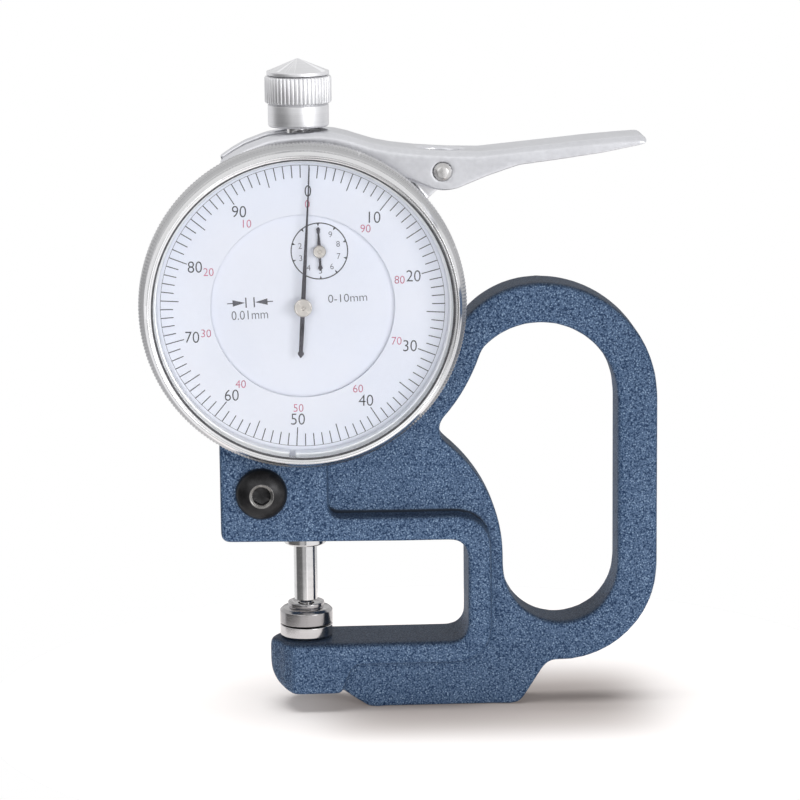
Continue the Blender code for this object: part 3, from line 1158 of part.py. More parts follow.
def build_guide():
    """The rail that guides the spindle's pin, the return spring and its post."""
    track_low = GUIDE_PIN_Z - GUIDE_PIN_TRACK - RAIL_MARGIN / 2.0
    track_high = GUIDE_PIN_Z + TRAVEL + GUIDE_PIN_TRACK + RAIL_MARGIN / 2.0
    half = GUIDE_PIN_TRACK
    slot = [(-half, track_low), (half, track_low), (half, track_high), (-half, track_high)]
    front, back = -half - RAIL_WALL, BACK_PLATE_Y - SEAT_GAP
    low, high = track_low - RAIL_MARGIN, track_high + RAIL_MARGIN
    outline = [(front, low), (back, low), (back, high), (front, high)]
    shape = prism(outline, SPINDLE_X + RAIL_X, SPINDLE_X + RAIL_X + RAIL_THICK, [slot], across="YZ")
    object_from(shape, "guide_rail", "brass", "frame")
    x = SPINDLE_X + RETURN_SPRING_X
    post = rod(SPRING_POST_RADIUS, -SPRING_POST_RADIUS, BACK_PLATE_Y - SEAT_GAP, (x, SPRING_POST_Z))
    object_from(post, "spring_post", "brass", "frame")
    low = SPRING_POST_Z + SPRING_POST_RADIUS + SEAT_GAP + RETURN_WIRE_RADIUS
    high = GUIDE_PIN_Z - GUIDE_PIN_RADIUS - SEAT_GAP - RETURN_WIRE_RADIUS
    coil = []
    count = RETURN_TURNS * RETURN_POINTS
    for step in range(count + 1):
        dx, dy = polar((0.0, 0.0), RETURN_SPRING_RADIUS, 360.0 * RETURN_TURNS * step / count)
        coil.append((x + dx, dy, low + (high - low) * step / count))
    wire("return_spring", coil, RETURN_WIRE_RADIUS, "spring_steel", "frame")


def needle(at, lean, stations, ring_radius, bore, low):
    """A flat pointer from (distance, half width) stations, with a ring round its barrel."""
    along = Vector((math.sin(math.radians(lean)), math.cos(math.radians(lean))))
    across = Vector((along.y, -along.x))
    origin = Vector(at)
    right = [tuple(origin + along * far + across * half) for far, half in stations]
    left = [tuple(origin + along * far - across * half) for far, half in reversed(stations)]
    shape = prism([*right, *left], low, low + POINTER_THICK)
    hub = rod(ring_radius, low, low + POINTER_THICK, at, steps=PIN_STEPS)
    return shape, hub, rod(bore, low - OVERRUN, low + OVERRUN, at)


def stations_of(shares, length, width):
    """Returns (distance, half width) stations of a needle from shares of its length and width."""
    return [(length * far, width * wide / 2.0) for far, wide in shares]


def build_pointers():
    """Both pointers and the main pointer's hub."""
    stations = stations_of(POINTER_TAIL_SHARES, POINTER_TAIL, POINTER_TAIL_WIDTH)
    stations += stations_of(POINTER_ARM_SHARES, POINTER_LENGTH, POINTER_ROOT_WIDTH)
    low = POINTER_Y - POINTER_THICK
    shape, hub, bore = needle(CENTRE_AT, HAND_LEAN, stations, POINTER_RING_RADIUS,
                              POINTER_BARREL_RADIUS + SEAT_GAP, low)
    main = object_from(shape, "main_pointer", "pointer_black", "centre_arbor")
    cut(join(main, hub), bore)
    face = low - SEAT_GAP - POINTER_HUB_HEIGHT
    socket = PIVOT_RADIUS + SEAT_GAP
    neck = low - SEAT_GAP
    floor = neck - SEAT_GAP / 2.0
    profile = [(0.0, face), (POINTER_HUB_FACE_RADIUS, face),
               (POINTER_HUB_RADIUS, face + POINTER_HUB_HEIGHT / 2.0), (POINTER_HUB_RADIUS, neck),
               (POINTER_BARREL_RADIUS, neck), (POINTER_BARREL_RADIUS, POINTER_Y), (socket, POINTER_Y),
               (socket, floor), (0.0, floor)]
    object_from(turned(profile, PIN_STEPS, CENTRE_AT), "pointer_hub", "chrome", "centre_arbor")
    stations = stations_of(COUNTER_TAIL_SHARES, COUNTER_TAIL, COUNTER_LOZENGE)
    stations += stations_of(COUNTER_ARM_SHARES, COUNTER_LENGTH, COUNTER_LOZENGE)
    low = COUNTER_POINTER_Y - POINTER_THICK
    shape, hub, bore = needle(COUNTER_WHEEL_AT, COUNTER_LEAN, stations, COUNTER_HUB_RADIUS,
                              PIVOT_RADIUS + SEAT_GAP, low)
    counter = object_from(shape, "counter_pointer", "pointer_black", "counter")
    cut(join(counter, hub), bore)


def lever_outline():
    """The lever's outline from the side: its top line, the arm's underside, the ear and the fork's hollow."""
    def along(shares, reach):
        return [(PIVOT_X + reach * x, PIVOT_Z + LEVER_RISE * z) for x, z in shares]
    top = along(LEVER_TOP_LEFT_SHARES, LEVER_FORK_REACH) + along(LEVER_TOP_RIGHT_SHARES[:-1], LEVER_ARM_REACH)
    arm = along(LEVER_TOP_RIGHT_SHARES[-1:] + LEVER_BOTTOM_RIGHT_SHARES, LEVER_ARM_REACH)
    ear = [(PIVOT_X + LEVER_ARM_REACH * x, PIVOT_Z + LEVER_DROP * z) for x, z in LEVER_EAR_SHARES]
    under = arc(CENTRE_AT, CASE_RADIUS + LEVER_CASE_GAP, 52.0, 120.0, 14)
    return top, arm, ear, under


def build_lever():
    """The lifting lever: a channel open below, with a fork at the left and a thin flat arm at the right."""
    top, arm, ear, under = lever_outline()
    half = LEVER_WIDTH / 2.0
    shape = prism([*top, *arm, *ear, *under], -half, half)
    ease_edges(shape, LEVER_EDGE, is_top_side_edge)
    lever = object_from(shape, "lifting_lever", "satin_aluminium", "lever")
    inside = half - LEVER_WALL
    ceiling = [(x, z - LEVER_WALL) for x, z in top if x < LEVER_CHANNEL_END]
    floor = min(z for x, z in ear) - OVERRUN
    channel = [(ceiling[0][0] - OVERRUN, ceiling[0][1] - OVERRUN), *ceiling, (ceiling[-1][0], floor),
               (ceiling[0][0] - OVERRUN, floor)]
    cut(lever, prism(channel, -inside, inside))
    slot_half = FORK_SLOT_WIDTH / 2.0
    slot_end = SPINDLE_X + FORK_SLOT_PAST_SPINDLE - slot_half
    left = PIVOT_X - LEVER_FORK_REACH - OVERRUN
    slot = [(left, -slot_half), *arc((slot_end, 0.0), slot_half, -90.0, 90.0, 12), (left, slot_half)]
    high = PIVOT_Z + LEVER_RISE + OVERRUN
    cut(lever, prism(slot, PIVOT_Z - LEVER_RISE, high, across="XY"))
    window = [(PIVOT_X + WEB_HOLE_LENGTH / 2.0 * math.cos(math.radians(a)),
               WEB_HOLE_WIDTH / 2.0 * math.sin(math.radians(a))) for a in range(0, 360, 18)]
    cut(lever, prism(window, PIVOT_Z, high, across="XY"))
    hole = rod(PIN_RADIUS + RUNNING_GAP, -LEVER_WIDTH, LEVER_WIDTH, PIVOT_AT, steps=PIN_STEPS)
    return cut(lever, hole)


def is_top_side_edge(edge):
    """Says whether an edge of the lever's prism is where its top line meets a side."""
    if not is_rim_edge(edge):
        return False
    side = edge.link_faces[0] if abs(edge.link_faces[0].normal.y) < 0.9 else edge.link_faces[1]
    return side.normal.z > 0.3


def build_bracket():
    """The bracket on the case that carries the lever, with its screws, the pin and the lever's spring."""
    inner = CASE_RADIUS + SEAT_GAP
    outer = inner + BRACKET_BASE_THICK
    base = arc(CENTRE_AT, outer, BRACKET_BASE_START, BRACKET_BASE_END, 8)
    base += arc(CENTRE_AT, inner, BRACKET_BASE_END, BRACKET_BASE_START, 8)
    half = BRACKET_BASE_WIDTH / 2.0
    bracket = object_from(prism(base, -half, half), "lever_bracket", "satin_aluminium", "frame")
    half = BRACKET_TONGUE_WIDTH / 2.0
    join(bracket, prism(tongue_outline(), -half, half, [circle(PIVOT_AT, PIN_RADIUS + SEAT_GAP, PIN_STEPS)]))
    for index, angle in enumerate(BRACKET_SCREW_ANGLES, start=1):
        low = SPINDLE_X + inner - BRACKET_SCREW_DEPTH
        seat = SPINDLE_X + outer + SEAT_GAP
        line = (0.0, DIAL_Z)
        hole = rod(BRACKET_SCREW_RADIUS + SEAT_GAP, low, seat + OVERRUN, line, "X")
        cut(bracket, spun_to_radius(hole, angle))
        face = seat + BRACKET_SCREW_HEAD_HEIGHT
        profile = [(0.0, low), (BRACKET_SCREW_RADIUS, low), (BRACKET_SCREW_RADIUS, seat),
                   (BRACKET_SCREW_HEAD_RADIUS, seat), (BRACKET_SCREW_HEAD_RADIUS, face), (0.0, face)]
        screw = spun_to_radius(turned(profile, SMALL_STEPS, line, "X"), angle)
        object_from(screw, f"bracket_screw_{index}", "polished_steel", "frame")
    build_pin()


def tongue_outline():
    """The bracket's tongue: a round eye about the pin and two sides that run to the base."""
    eye = Vector(PIVOT_AT)
    inward = (Vector(CENTRE_AT) - eye).normalized()
    aside = Vector((inward.y, -inward.x)) * BRACKET_TONGUE_HALF
    to_root = (Vector(CENTRE_AT) - eye).length - CASE_RADIUS - SEAT_GAP - BRACKET_BASE_THICK / 2.0
    root = eye + inward * to_root
    turn = heading(PIVOT_AT, CENTRE_AT)
    open_half = math.degrees(math.asin(BRACKET_TONGUE_HALF / BRACKET_EYE_RADIUS))
    rim = arc(PIVOT_AT, BRACKET_EYE_RADIUS, turn + open_half, turn + 360.0 - open_half, 16)
    return [*rim, tuple(root + aside), tuple(root - aside)]


def build_pin():
    """The riveted pivot pin, domed at both ends, and the spring coiled on it."""
    seat = LEVER_WIDTH / 2.0 + SEAT_GAP
    dome = []
    for angle in PIN_HEAD_ANGLES:
        turn = math.radians(angle)
        dome.append((PIN_HEAD_RADIUS * math.cos(turn), seat + PIN_HEAD_HEIGHT * math.sin(turn)))
    profile = [(0.0, -seat - PIN_HEAD_HEIGHT), *[(r, -y) for r, y in reversed(dome)], (PIN_RADIUS, -seat),
               (PIN_RADIUS, seat), *dome, (0.0, seat + PIN_HEAD_HEIGHT)]
    object_from(turned(profile, PIN_STEPS, PIVOT_AT), "lever_pin", "polished_steel", "frame")
    start = BRACKET_TONGUE_WIDTH / 2.0 + LEVER_SPRING_INSET
    end = LEVER_WIDTH / 2.0 - LEVER_WALL - LEVER_SPRING_INSET
    coil = []
    count = LEVER_SPRING_TURNS * LEVER_SPRING_POINTS
    for step in range(count + 1):
        x, z = polar(PIVOT_AT, LEVER_SPRING_RADIUS, 360.0 * LEVER_SPRING_TURNS * step / count)
        coil.append((x, start + (end - start) * step / count, z))
    wire("lever_spring", coil, LEVER_SPRING_WIRE, "spring_steel", "frame")


def main():
    """Builds the whole gauge."""
    clear_scene()
    build_casting()
    build_clamp_screw()
    build_anvil()
    build_contact()
    build_spindle()
    build_cap()
    build_guide_pin()
    build_case()
    build_stem()
    build_upper_bush()
    build_back_cover()
    build_bezel()
    build_crystal()
    build_scale_ring()
    build_inner_dial()
    build_plates()
    build_train()
    build_guide()
    build_pointers()
    build_lever()
    build_bracket()


main()
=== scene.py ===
"""Looks of a dial thickness gauge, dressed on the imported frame.

Sizes in the classes are in millimetres and every mesh is written in metres. X runs right along the dial's
face, Y away from the viewer and Z up. Turned pieces are profiles of (radius, place along the axis), and
needles, wires and lettering are carried along their own lines.
"""

import json
import logging
import math
from dataclasses import dataclass
from enum import Enum
from functools import cache, cached_property
from typing import Sequence

import bmesh
import bpy
import numpy as np
from mathutils import Matrix, Vector

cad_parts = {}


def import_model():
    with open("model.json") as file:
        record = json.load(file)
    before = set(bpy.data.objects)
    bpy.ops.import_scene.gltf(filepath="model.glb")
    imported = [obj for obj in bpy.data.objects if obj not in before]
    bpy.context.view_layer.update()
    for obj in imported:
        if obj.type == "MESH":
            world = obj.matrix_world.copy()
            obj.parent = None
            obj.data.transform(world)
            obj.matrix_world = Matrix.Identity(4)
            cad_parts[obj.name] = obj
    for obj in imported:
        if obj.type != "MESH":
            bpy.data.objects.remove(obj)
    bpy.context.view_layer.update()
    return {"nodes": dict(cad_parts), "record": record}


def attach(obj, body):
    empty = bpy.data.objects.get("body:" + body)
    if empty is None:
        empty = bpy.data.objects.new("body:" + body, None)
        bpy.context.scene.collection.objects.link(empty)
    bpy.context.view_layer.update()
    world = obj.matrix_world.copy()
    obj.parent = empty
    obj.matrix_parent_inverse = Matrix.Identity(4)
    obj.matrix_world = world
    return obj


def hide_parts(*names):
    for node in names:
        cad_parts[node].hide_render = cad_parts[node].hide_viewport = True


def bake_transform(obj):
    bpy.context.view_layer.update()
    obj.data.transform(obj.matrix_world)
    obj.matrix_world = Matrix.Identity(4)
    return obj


Array = np.ndarray
Face = tuple[int, ...]
Point = tuple[float, float]
Colour = tuple[float, float, float]
Piece = bpy.types.Object
Tree = bpy.types.NodeTree
Socket = bpy.types.NodeSocket
Values = dict[str | int, object]

MM = 0.001
MERGE = 1e-7  # metres within which two points become one
SHARP = 34.0  # degrees past which an edge stays a corner
PRINT = 0.03  # millimetres that print stands above its surface and reaches below it
LOG = logging.getLogger("gauge")
NODES: dict[str, Piece] = {}


class Body(Enum):
    """Bodies that pieces ride on."""

    FRAME = "frame"
    BEZEL = "bezel"
    PLUNGER = "plunger"
    CENTRE = "centre_arbor"
    COUNTER = "counter"
    LEVER = "lever"


class Axis(Enum):
    """Direction that a profile is turned about."""

    Y = "Y"
    Z = "Z"


@dataclass(frozen=True)
class Line:
    """An axis: its place (a, b) in the plane across it, and its direction."""

    a: float
    b: float
    axis: Axis = Axis.Y

    @property
    def place(self) -> Array:
        """The place as an array."""
        return np.array([self.a, self.b])


@dataclass(frozen=True)
class Layout:
    """Lines and places that several pieces share."""

    spindle: Line = Line(-26.2, 0.0, Axis.Z)
    dial: Line = Line(-26.2, 79.2)
    counter: Line = Line(-23.0, 89.3054)
    pivot: Line = Line(0.1, 102.7)
    scale_front: float = -12.9
    inner_front: float = -12.1
    scale_lean: float = 3.35
    hand_lean: float = 3.5
    inner_lean: float = -2.2
    counter_lean: float = -2.5


AT = Layout()


@dataclass
class Shape:
    """Points in millimetres and the faces between them."""

    points: Array
    faces: list[Face]

    @staticmethod
    def joined(*shapes: "Shape") -> "Shape":
        """Puts shapes into one, each one's face numbers raised by the points before it.

        Args:
            *shapes: The shapes.

        Returns:
            The whole.
        """
        counts = np.cumsum([0] + [len(shape.points) for shape in shapes[:-1]]).tolist()
        faces = [tuple(i + start for i in face) for shape, start in zip(shapes, counts) for face in shape.faces]
        return Shape(np.concatenate([shape.points for shape in shapes]), faces)


def grid_faces(rows: int, columns: int, ring: bool = False, capped: bool = False) -> list[Face]:
    """Numbers the four-sided faces of a grid whose rows are closed rings of points.

    Point (i, j) has number i times the columns plus j. Face (i, j) goes round (i, j), (i, j + 1),
    (i + 1, j + 1) and (i + 1, j), where the first column follows the last.

    Args:
        rows: Rows of points.
        columns: Points in a row.
        ring: Joins the last row to the first.
        capped: Closes the first and the last row with one face each.

    Returns:
        The faces.
    """
    i, j = np.meshgrid(np.arange(rows if ring else rows - 1), np.arange(columns), indexing="ij")
    below, beside = (i + 1) % rows, (j + 1) % columns
    quads = np.stack([i * columns + j, i * columns + beside, below * columns + beside, below * columns + j], axis=-1)
    faces = [tuple(quad) for quad in quads.reshape(-1, 4).tolist()]
    if capped:
        faces += [tuple(range(columns)), tuple(range((rows - 1) * columns, rows * columns))]
    return faces


def fillet_line(corners: Sequence[tuple[float, ...]], closed: bool = False, steps: int = 5) -> Array:
    """Rounds the corners of a flat line.

    A corner (a, b, radius) becomes an arc that touches both of its sides. The arc's middle is radius over
    sin(half the corner's angle) from the corner on its halving line, and its ends are radius over
    tan(half the angle) along the sides. A corner (a, b) and the ends of an open line stay sharp.

    Args:
        corners: Corners as (a, b) or (a, b, radius).
        closed: Says that the last corner is joined to the first.
        steps: Parts of each arc.

    Returns:
        The line's points, one row each.
    """
    places = np.array([corner[:2] for corner in corners], dtype=float)
    last = len(corners) - 1
    line: list[Array] = []
    for index, corner in enumerate(corners):
        here = places[index]
        if len(corner) == 2 or (not closed and index in (0, last)):
            line.append(here[None])
            continue
        ways = places[[index - 1, (index + 1) % (last + 1)]] - here
        ways /= np.linalg.norm(ways, axis=1, keepdims=True)
        half = math.acos(float(np.clip(ways[0] @ ways[1], -1.0, 1.0))) / 2.0
        middle = ways.sum(axis=0)
        centre = here + middle / np.linalg.norm(middle) * corner[2] / math.sin(half)
        start, end = np.degrees(np.arctan2(*(here + ways * corner[2] / math.tan(half) - centre).T[::-1]))
        turn = np.radians(start + ((end - start + 180.0) % 360.0 - 180.0) * np.linspace(0.0, 1.0, steps + 1))
        line.append(centre + corner[2] * np.stack([np.cos(turn), np.sin(turn)], axis=1))
    return np.concatenate(line)


def around(steps: int) -> Array:
    """Gives even angles round one turn."""
    return np.linspace(0.0, 2.0 * math.pi, steps, endpoint=False)


def spokes(lean: Array | float) -> tuple[Array, Array]:
    """Gives the directions at clockwise angles t in degrees, (sin t, cos t), and those across, (cos t, -sin t)."""
    turn = np.radians(np.asarray(lean, dtype=float))
    return np.stack([np.sin(turn), np.cos(turn)], axis=-1), np.stack([np.cos(turn), -np.sin(turn)], axis=-1)


def placed(radius: Array, turn: Array, along: Array, line: Line) -> Array:
    """Places round coordinates in space.

    About Y a point is (a + r cos t, h, b + r sin t), and about Z it is (a + r cos t, b + r sin t, h).

    Args:
        radius: Distance r from the axis.
        turn: Angle t round the axis.
        along: Place h along the axis.
        line: The axis.

    Returns:
        Points with three coordinates in the last place.
    """
    first, second = line.a + radius * np.cos(turn), line.b + radius * np.sin(turn)
    third = along + 0.0 * first
    return np.stack([first, third, second] if line.axis is Axis.Y else [first, second, third], axis=-1)


def turned(profile: Array, steps: int, line: Line, closed: bool = False, ripple: Array | float = 0.0) -> Shape:
    """Turns a profile about an axis.

    The grid has one row for each profile point (r, h) and one column for each angle t, and its point is the
    placed (r + ripple(row, column), t, h). Rows with r = 0 close into a pole when doubles are merged.

    Args:
        profile: Points (r, h).
        steps: Columns round the axis.
        line: The axis.
        closed: Says that the profile is a closed ring that doesn't reach the axis.
        ripple: What is added to the radius, as rows by columns.

    Returns:
        The turned shape.
    """
    turn = around(steps)[None]
    grid = placed(profile[:, :1] + 0.0 * turn + ripple, turn, profile[:, 1:], line)
    return Shape(grid.reshape(-1, 3), grid_faces(len(profile), steps, closed))


def carried(path: Array, radius: float, sides: int) -> Shape:
    """Carries a round section along a path.

    At each path point the section's first direction is the path's tangent crossed with a fixed direction,
    and its second is the tangent crossed with the first. A section point is the path point plus radius
    times (cos of the first plus sin of the second).

    Args:
        path: Points along the wire.
        radius: The wire's radius.
        sides: Points round the section.

    Returns:
        The wire, closed by a face at both ends.
    """
    tangent = np.gradient(path, axis=0)
    tangent /= np.linalg.norm(tangent, axis=1, keepdims=True)
    first = np.cross(tangent, np.array([0.31, 0.53, 0.79]))
    first /= np.linalg.norm(first, axis=1, keepdims=True)
    second = np.cross(tangent, first)
    turn = around(sides)[None, :, None]
    grid = path[:, None] + radius * (np.cos(turn) * first[:, None] + np.sin(turn) * second[:, None])
    return Shape(grid.reshape(-1, 3), grid_faces(len(path), sides, capped=True))


def slab(outlines: Array, front: float, back: float) -> Shape:
    """Makes thin plates from many outlines of the same number of points.

    Each outline is written at the front and at the back, and point k of the front is joined to point k of
    the back all the way round.

    Args:
        outlines: Outlines by points by (x, z).
        front: The plates' front place along Y.
        back: The plates' back place along Y.

    Returns:
        One shape that holds every plate.
    """
    count, corners = outlines.shape[:2]
    x, z = outlines[..., 0], outlines[..., 1]
    grid = np.stack([np.stack([x, y + 0.0 * x, z], axis=-1) for y in (front, back)], axis=1)
    start = np.arange(count)[:, None] * 2 * corners
    k = np.arange(corners)[None]
    beside = (k + 1) % corners
    sides = np.stack([start + k, start + beside, start + corners + beside, start + corners + k], axis=-1)
    faces = [*sides.reshape(-1, 4).tolist(), *(start + k[:, ::-1]).tolist(), *(start + corners + k).tolist()]
    return Shape(grid.reshape(-1, 3), [tuple(face) for face in faces])


def new_object(name: str, data: bpy.types.ID) -> Piece:
    """Adds an object to the scene.

    Args:
        name: The object's name.
        data: Its mesh, curve, light or camera.

    Returns:
        The object.
    """
    item = bpy.data.objects.new(name, data)
    bpy.context.scene.collection.objects.link(item)
    return item


def merge(source: bpy.types.Mesh, target: bpy.types.Mesh, outward: bool = True) -> None:
    """Writes a mesh with its doubles merged.

    Args:
        source: The mesh to read.
        target: The mesh to write, which may be the same.
        outward: Turns the faces outwards.
    """
    shell = bmesh.new()
    shell.from_mesh(source)
    bmesh.ops.remove_doubles(shell, verts=shell.verts, dist=MERGE)
    if outward:
        bmesh.ops.recalc_face_normals(shell, faces=shell.faces)
    shell.to_mesh(target)
    shell.free()


def shade(mesh: bpy.types.Mesh, sharp: float = SHARP) -> None:
    """Shades a mesh smoothly, with corners at the edges that turn by more than an angle in degrees."""
    mesh.shade_smooth()
    mesh.set_sharp_from_angle(angle=math.radians(sharp))


def write_piece(name: str, shape: Shape, sharp: float = SHARP, weighted: bool = False) -> Piece:
    """Writes a shape into a new object, with doubles merged and faces turned outwards.

    Args:
        name: The piece's name.
        shape: The shape in millimetres.
        sharp: Angle in degrees past which an edge stays a corner.
        weighted: Lets large faces lead the shading of small rounded edges.

    Returns:
        The object, which stands at the origin.
    """
    mesh = bpy.data.meshes.new(name)
    mesh.from_pydata((shape.points * MM).tolist(), [], shape.faces)
    merge(mesh, mesh)
    shade(mesh, sharp)
    piece = new_object(name, mesh)
    if weighted:
        piece.modifiers.new("weighted", "WEIGHTED_NORMAL").keep_sharp = True
    return piece


def turned_piece(name: str, corners: Sequence[tuple[float, ...]], steps: int, line: Line = AT.dial,
                 closed: bool = False, arc: int = 5, sharp: float = SHARP, weighted: bool = True) -> Piece:
    """Writes a turned piece from the corners of its profile.

    Args:
        name: The piece's name.
        corners: Corners (r, h) or (r, h, radius) as fillet_line reads them.
        steps: Columns round the axis.
        line: The axis.
        closed: Says that the profile is a closed ring.
        arc: Parts of each rounded corner.
        sharp: As in write_piece.
        weighted: As in write_piece.

    Returns:
        The piece.
    """
    return write_piece(name, turned(fillet_line(corners, closed, arc), steps, line, closed), sharp, weighted)


def read(items: bpy.types.bpy_prop_collection, key: str = "co") -> Array:
    """Reads three numbers of each vertex or face as rows.

    Args:
        items: The vertices or faces.
        key: What is read.

    Returns:
        One row for each item.
    """
    rows = np.empty(len(items) * 3)
    items.foreach_get(key, rows)
    return rows.reshape(-1, 3)


def bake(piece: Piece) -> None:
    """Keeps what a piece's modifiers give as its own mesh.

    Args:
        piece: The piece.
    """
    bpy.context.view_layer.update()
    view = bpy.context.evaluated_depsgraph_get()
    old, piece.data = piece.data, bpy.data.meshes.new_from_object(piece.evaluated_get(view))
    piece.modifiers.clear()
    piece.data.name = piece.name
    bpy.data.meshes.remove(old)


def softened_copy(name: str, node: str, voxel: float, passes: int) -> Piece:
    """Copies a CAD node and rounds its edges as casting or tumbling does.

    The copy's surface is rebuilt on a grid of small cubes, and each point then moves halfway to the mean of
    its neighbours, as many times as passes says.

    Args:
        name: The piece's name.
        node: The CAD node.
        voxel: The cubes' side.
        passes: How often the surface is smoothed.

    Returns:
        The rounded piece.
    """
    mesh = bpy.data.meshes.new(name)
    merge(NODES[node].data, mesh, False)
    piece = new_object(name, mesh)
    cubes = piece.modifiers.new("cubes", "REMESH")
    cubes.mode = "VOXEL"
    cubes.voxel_size = voxel * MM
    smooth = piece.modifiers.new("smooth", "SMOOTH")
    smooth.factor = 0.5
    smooth.iterations = passes
    bake(piece)
    piece.data.shade_smooth()
    return piece


# Finishes


@dataclass
class Patch:
    """A shader's node tree and short ways to add to it."""

    tree: Tree

    def fill(self, node: bpy.types.Node, values: Values) -> None:
        """Fills a node's inputs.

        Args:
            node: The node.
            values: For an input's name or number, a socket to link or a value. A colour may lack its alpha.
        """
        for key, value in values.items():
            socket = node.inputs[key]
            if isinstance(value, Socket):
                self.tree.links.new(value, socket)
            else:
                short = socket.type == "RGBA" and len(value) == 3
                socket.default_value = (*value, 1.0) if short else value

    def add(self, kind: str, values: Values | None = None, **properties: object) -> bpy.types.NodeOutputs:
        """Adds a shader node.

        Args:
            kind: The node's type without its first word.
            values: Its inputs, as fill reads them.
            **properties: Its properties.

        Returns:
            The node's outputs.
        """
        node = self.tree.nodes.new("ShaderNode" + kind)
        for key, value in properties.items():
            setattr(node, key, value)
        self.fill(node, values or {})
        return node.outputs

    def shade(self, values: Values) -> None:
        """Fills the Principled shader's inputs."""
        self.fill(self.tree.nodes["Principled BSDF"], values)

    def math(self, operation: str, first: object, second: object = 0.0, clamp: bool = False) -> Socket:
        """Adds a Math node on sockets or numbers."""
        return self.add("Math", {0: first, 1: second}, operation=operation, use_clamp=clamp)[0]

    def weigh(self, first: Socket, share: float, second: Socket, other: float) -> Socket:
        """Adds two sockets, each times its share."""
        return self.math("ADD", self.math("MULTIPLY", first, share), self.math("MULTIPLY", second, other))

    def noise(self, vector: Socket, scale: float, detail: float = 2.0, rough: float = 0.5) -> Socket:
        """Adds a Noise Texture's factor."""
        return self.add("TexNoise", {"Vector": vector, "Scale": scale, "Detail": detail, "Roughness": rough})["Fac"]

    def mix(self, factor: object, first: object, second: object) -> Socket:
        """Adds a mix of two colours or sockets."""
        return self.add("Mix", {0: factor, 6: first, 7: second}, data_type="RGBA")[2]

    def span(self, value: Socket, low: float, high: float, to_low: float = 0.0, to_high: float = 1.0) -> Socket:
        """Maps the range from low to high to another range, smoothly and clamped."""
        ends = {"Value": value, "From Min": low, "From Max": high, "To Min": to_low, "To Max": to_high}
        return self.add("MapRange", ends, interpolation_type="SMOOTHSTEP")["Result"]

    def scaled(self, vector: Socket, scale: Socket) -> Socket:
        """Adds a vector times a number."""
        return self.add("VectorMath", {0: vector, "Scale": scale}, operation="SCALE")[0]

    def parts(self, vector: Socket) -> bpy.types.NodeOutputs:
        """Gives a vector's three numbers."""
        return self.add("SeparateXYZ", {0: vector})

    def rays(self, *kinds: str) -> Socket:
        """Gives 1 to rays of the named kinds and 0 to others.

        Args:
            *kinds: Outputs of the Light Path node.

        Returns:
            The result's socket.
        """
        path = self.add("LightPath")
        total = path[kinds[0]]
        for kind in kinds[1:]:
            total = self.math("MAXIMUM", total, path[kind])
        return total

    def effect(self, tree: Tree, vector: Socket, **values: float) -> bpy.types.NodeOutputs:
        """Places a node group with its own values."""
        named = {key.capitalize(): value for key, value in values.items()}
        return self.add("Group", {"Vector": vector, **named}, node_tree=tree)

    def centred(self, vector: Socket, line: Line) -> Socket:
        """Moves a pattern to an axis, with that axis as the pattern's third direction.

        Args:
            vector: The coordinates.
            line: The axis.

        Returns:
            The mapped coordinates.
        """
        upright = line.axis is Axis.Z
        return self.add("Mapping", {
            "Vector": vector, "Rotation": (0.0 if upright else math.radians(90.0), 0.0, 0.0),
            "Location": (-line.a * MM, (-line.b if upright else line.b) * MM, 0.0)}, vector_type="POINT")["Vector"]

    def bump(self, height: Socket, strength: float, depth: float) -> None:
        """Bumps the shader's normal by a height, to a depth in millimetres."""
        values = {"Height": height, "Strength": strength, "Distance": depth * MM}
        self.shade({"Normal": self.add("Bump", values)["Normal"]})


def new_group(name: str, outputs: Sequence[str], **inputs: float) -> tuple[Patch, bpy.types.NodeOutputs]:
    """Starts a shader node group with a vector input and number sockets.

    Args:
        name: The group's name.
        outputs: The outputs' names.
        **inputs: The number inputs' names and defaults.

    Returns:
        The group's patch and what it is given.
    """
    tree = bpy.data.node_groups.new(name, "ShaderNodeTree")
    tree.interface.new_socket("Vector", in_out="INPUT", socket_type="NodeSocketVector")
    for label, default in inputs.items():
        socket = tree.interface.new_socket(label, in_out="INPUT", socket_type="NodeSocketFloat")
        socket.default_value = default
    for label in outputs:
        tree.interface.new_socket(label, in_out="OUTPUT", socket_type="NodeSocketFloat")
    return Patch(tree), tree.nodes.new("NodeGroupInput").outputs


def close_group(patch: Patch, **values: Socket) -> Tree:
    """Links a group's outputs and returns the group."""
    patch.fill(patch.tree.nodes.new("NodeGroupOutput"), values)
    return patch.tree


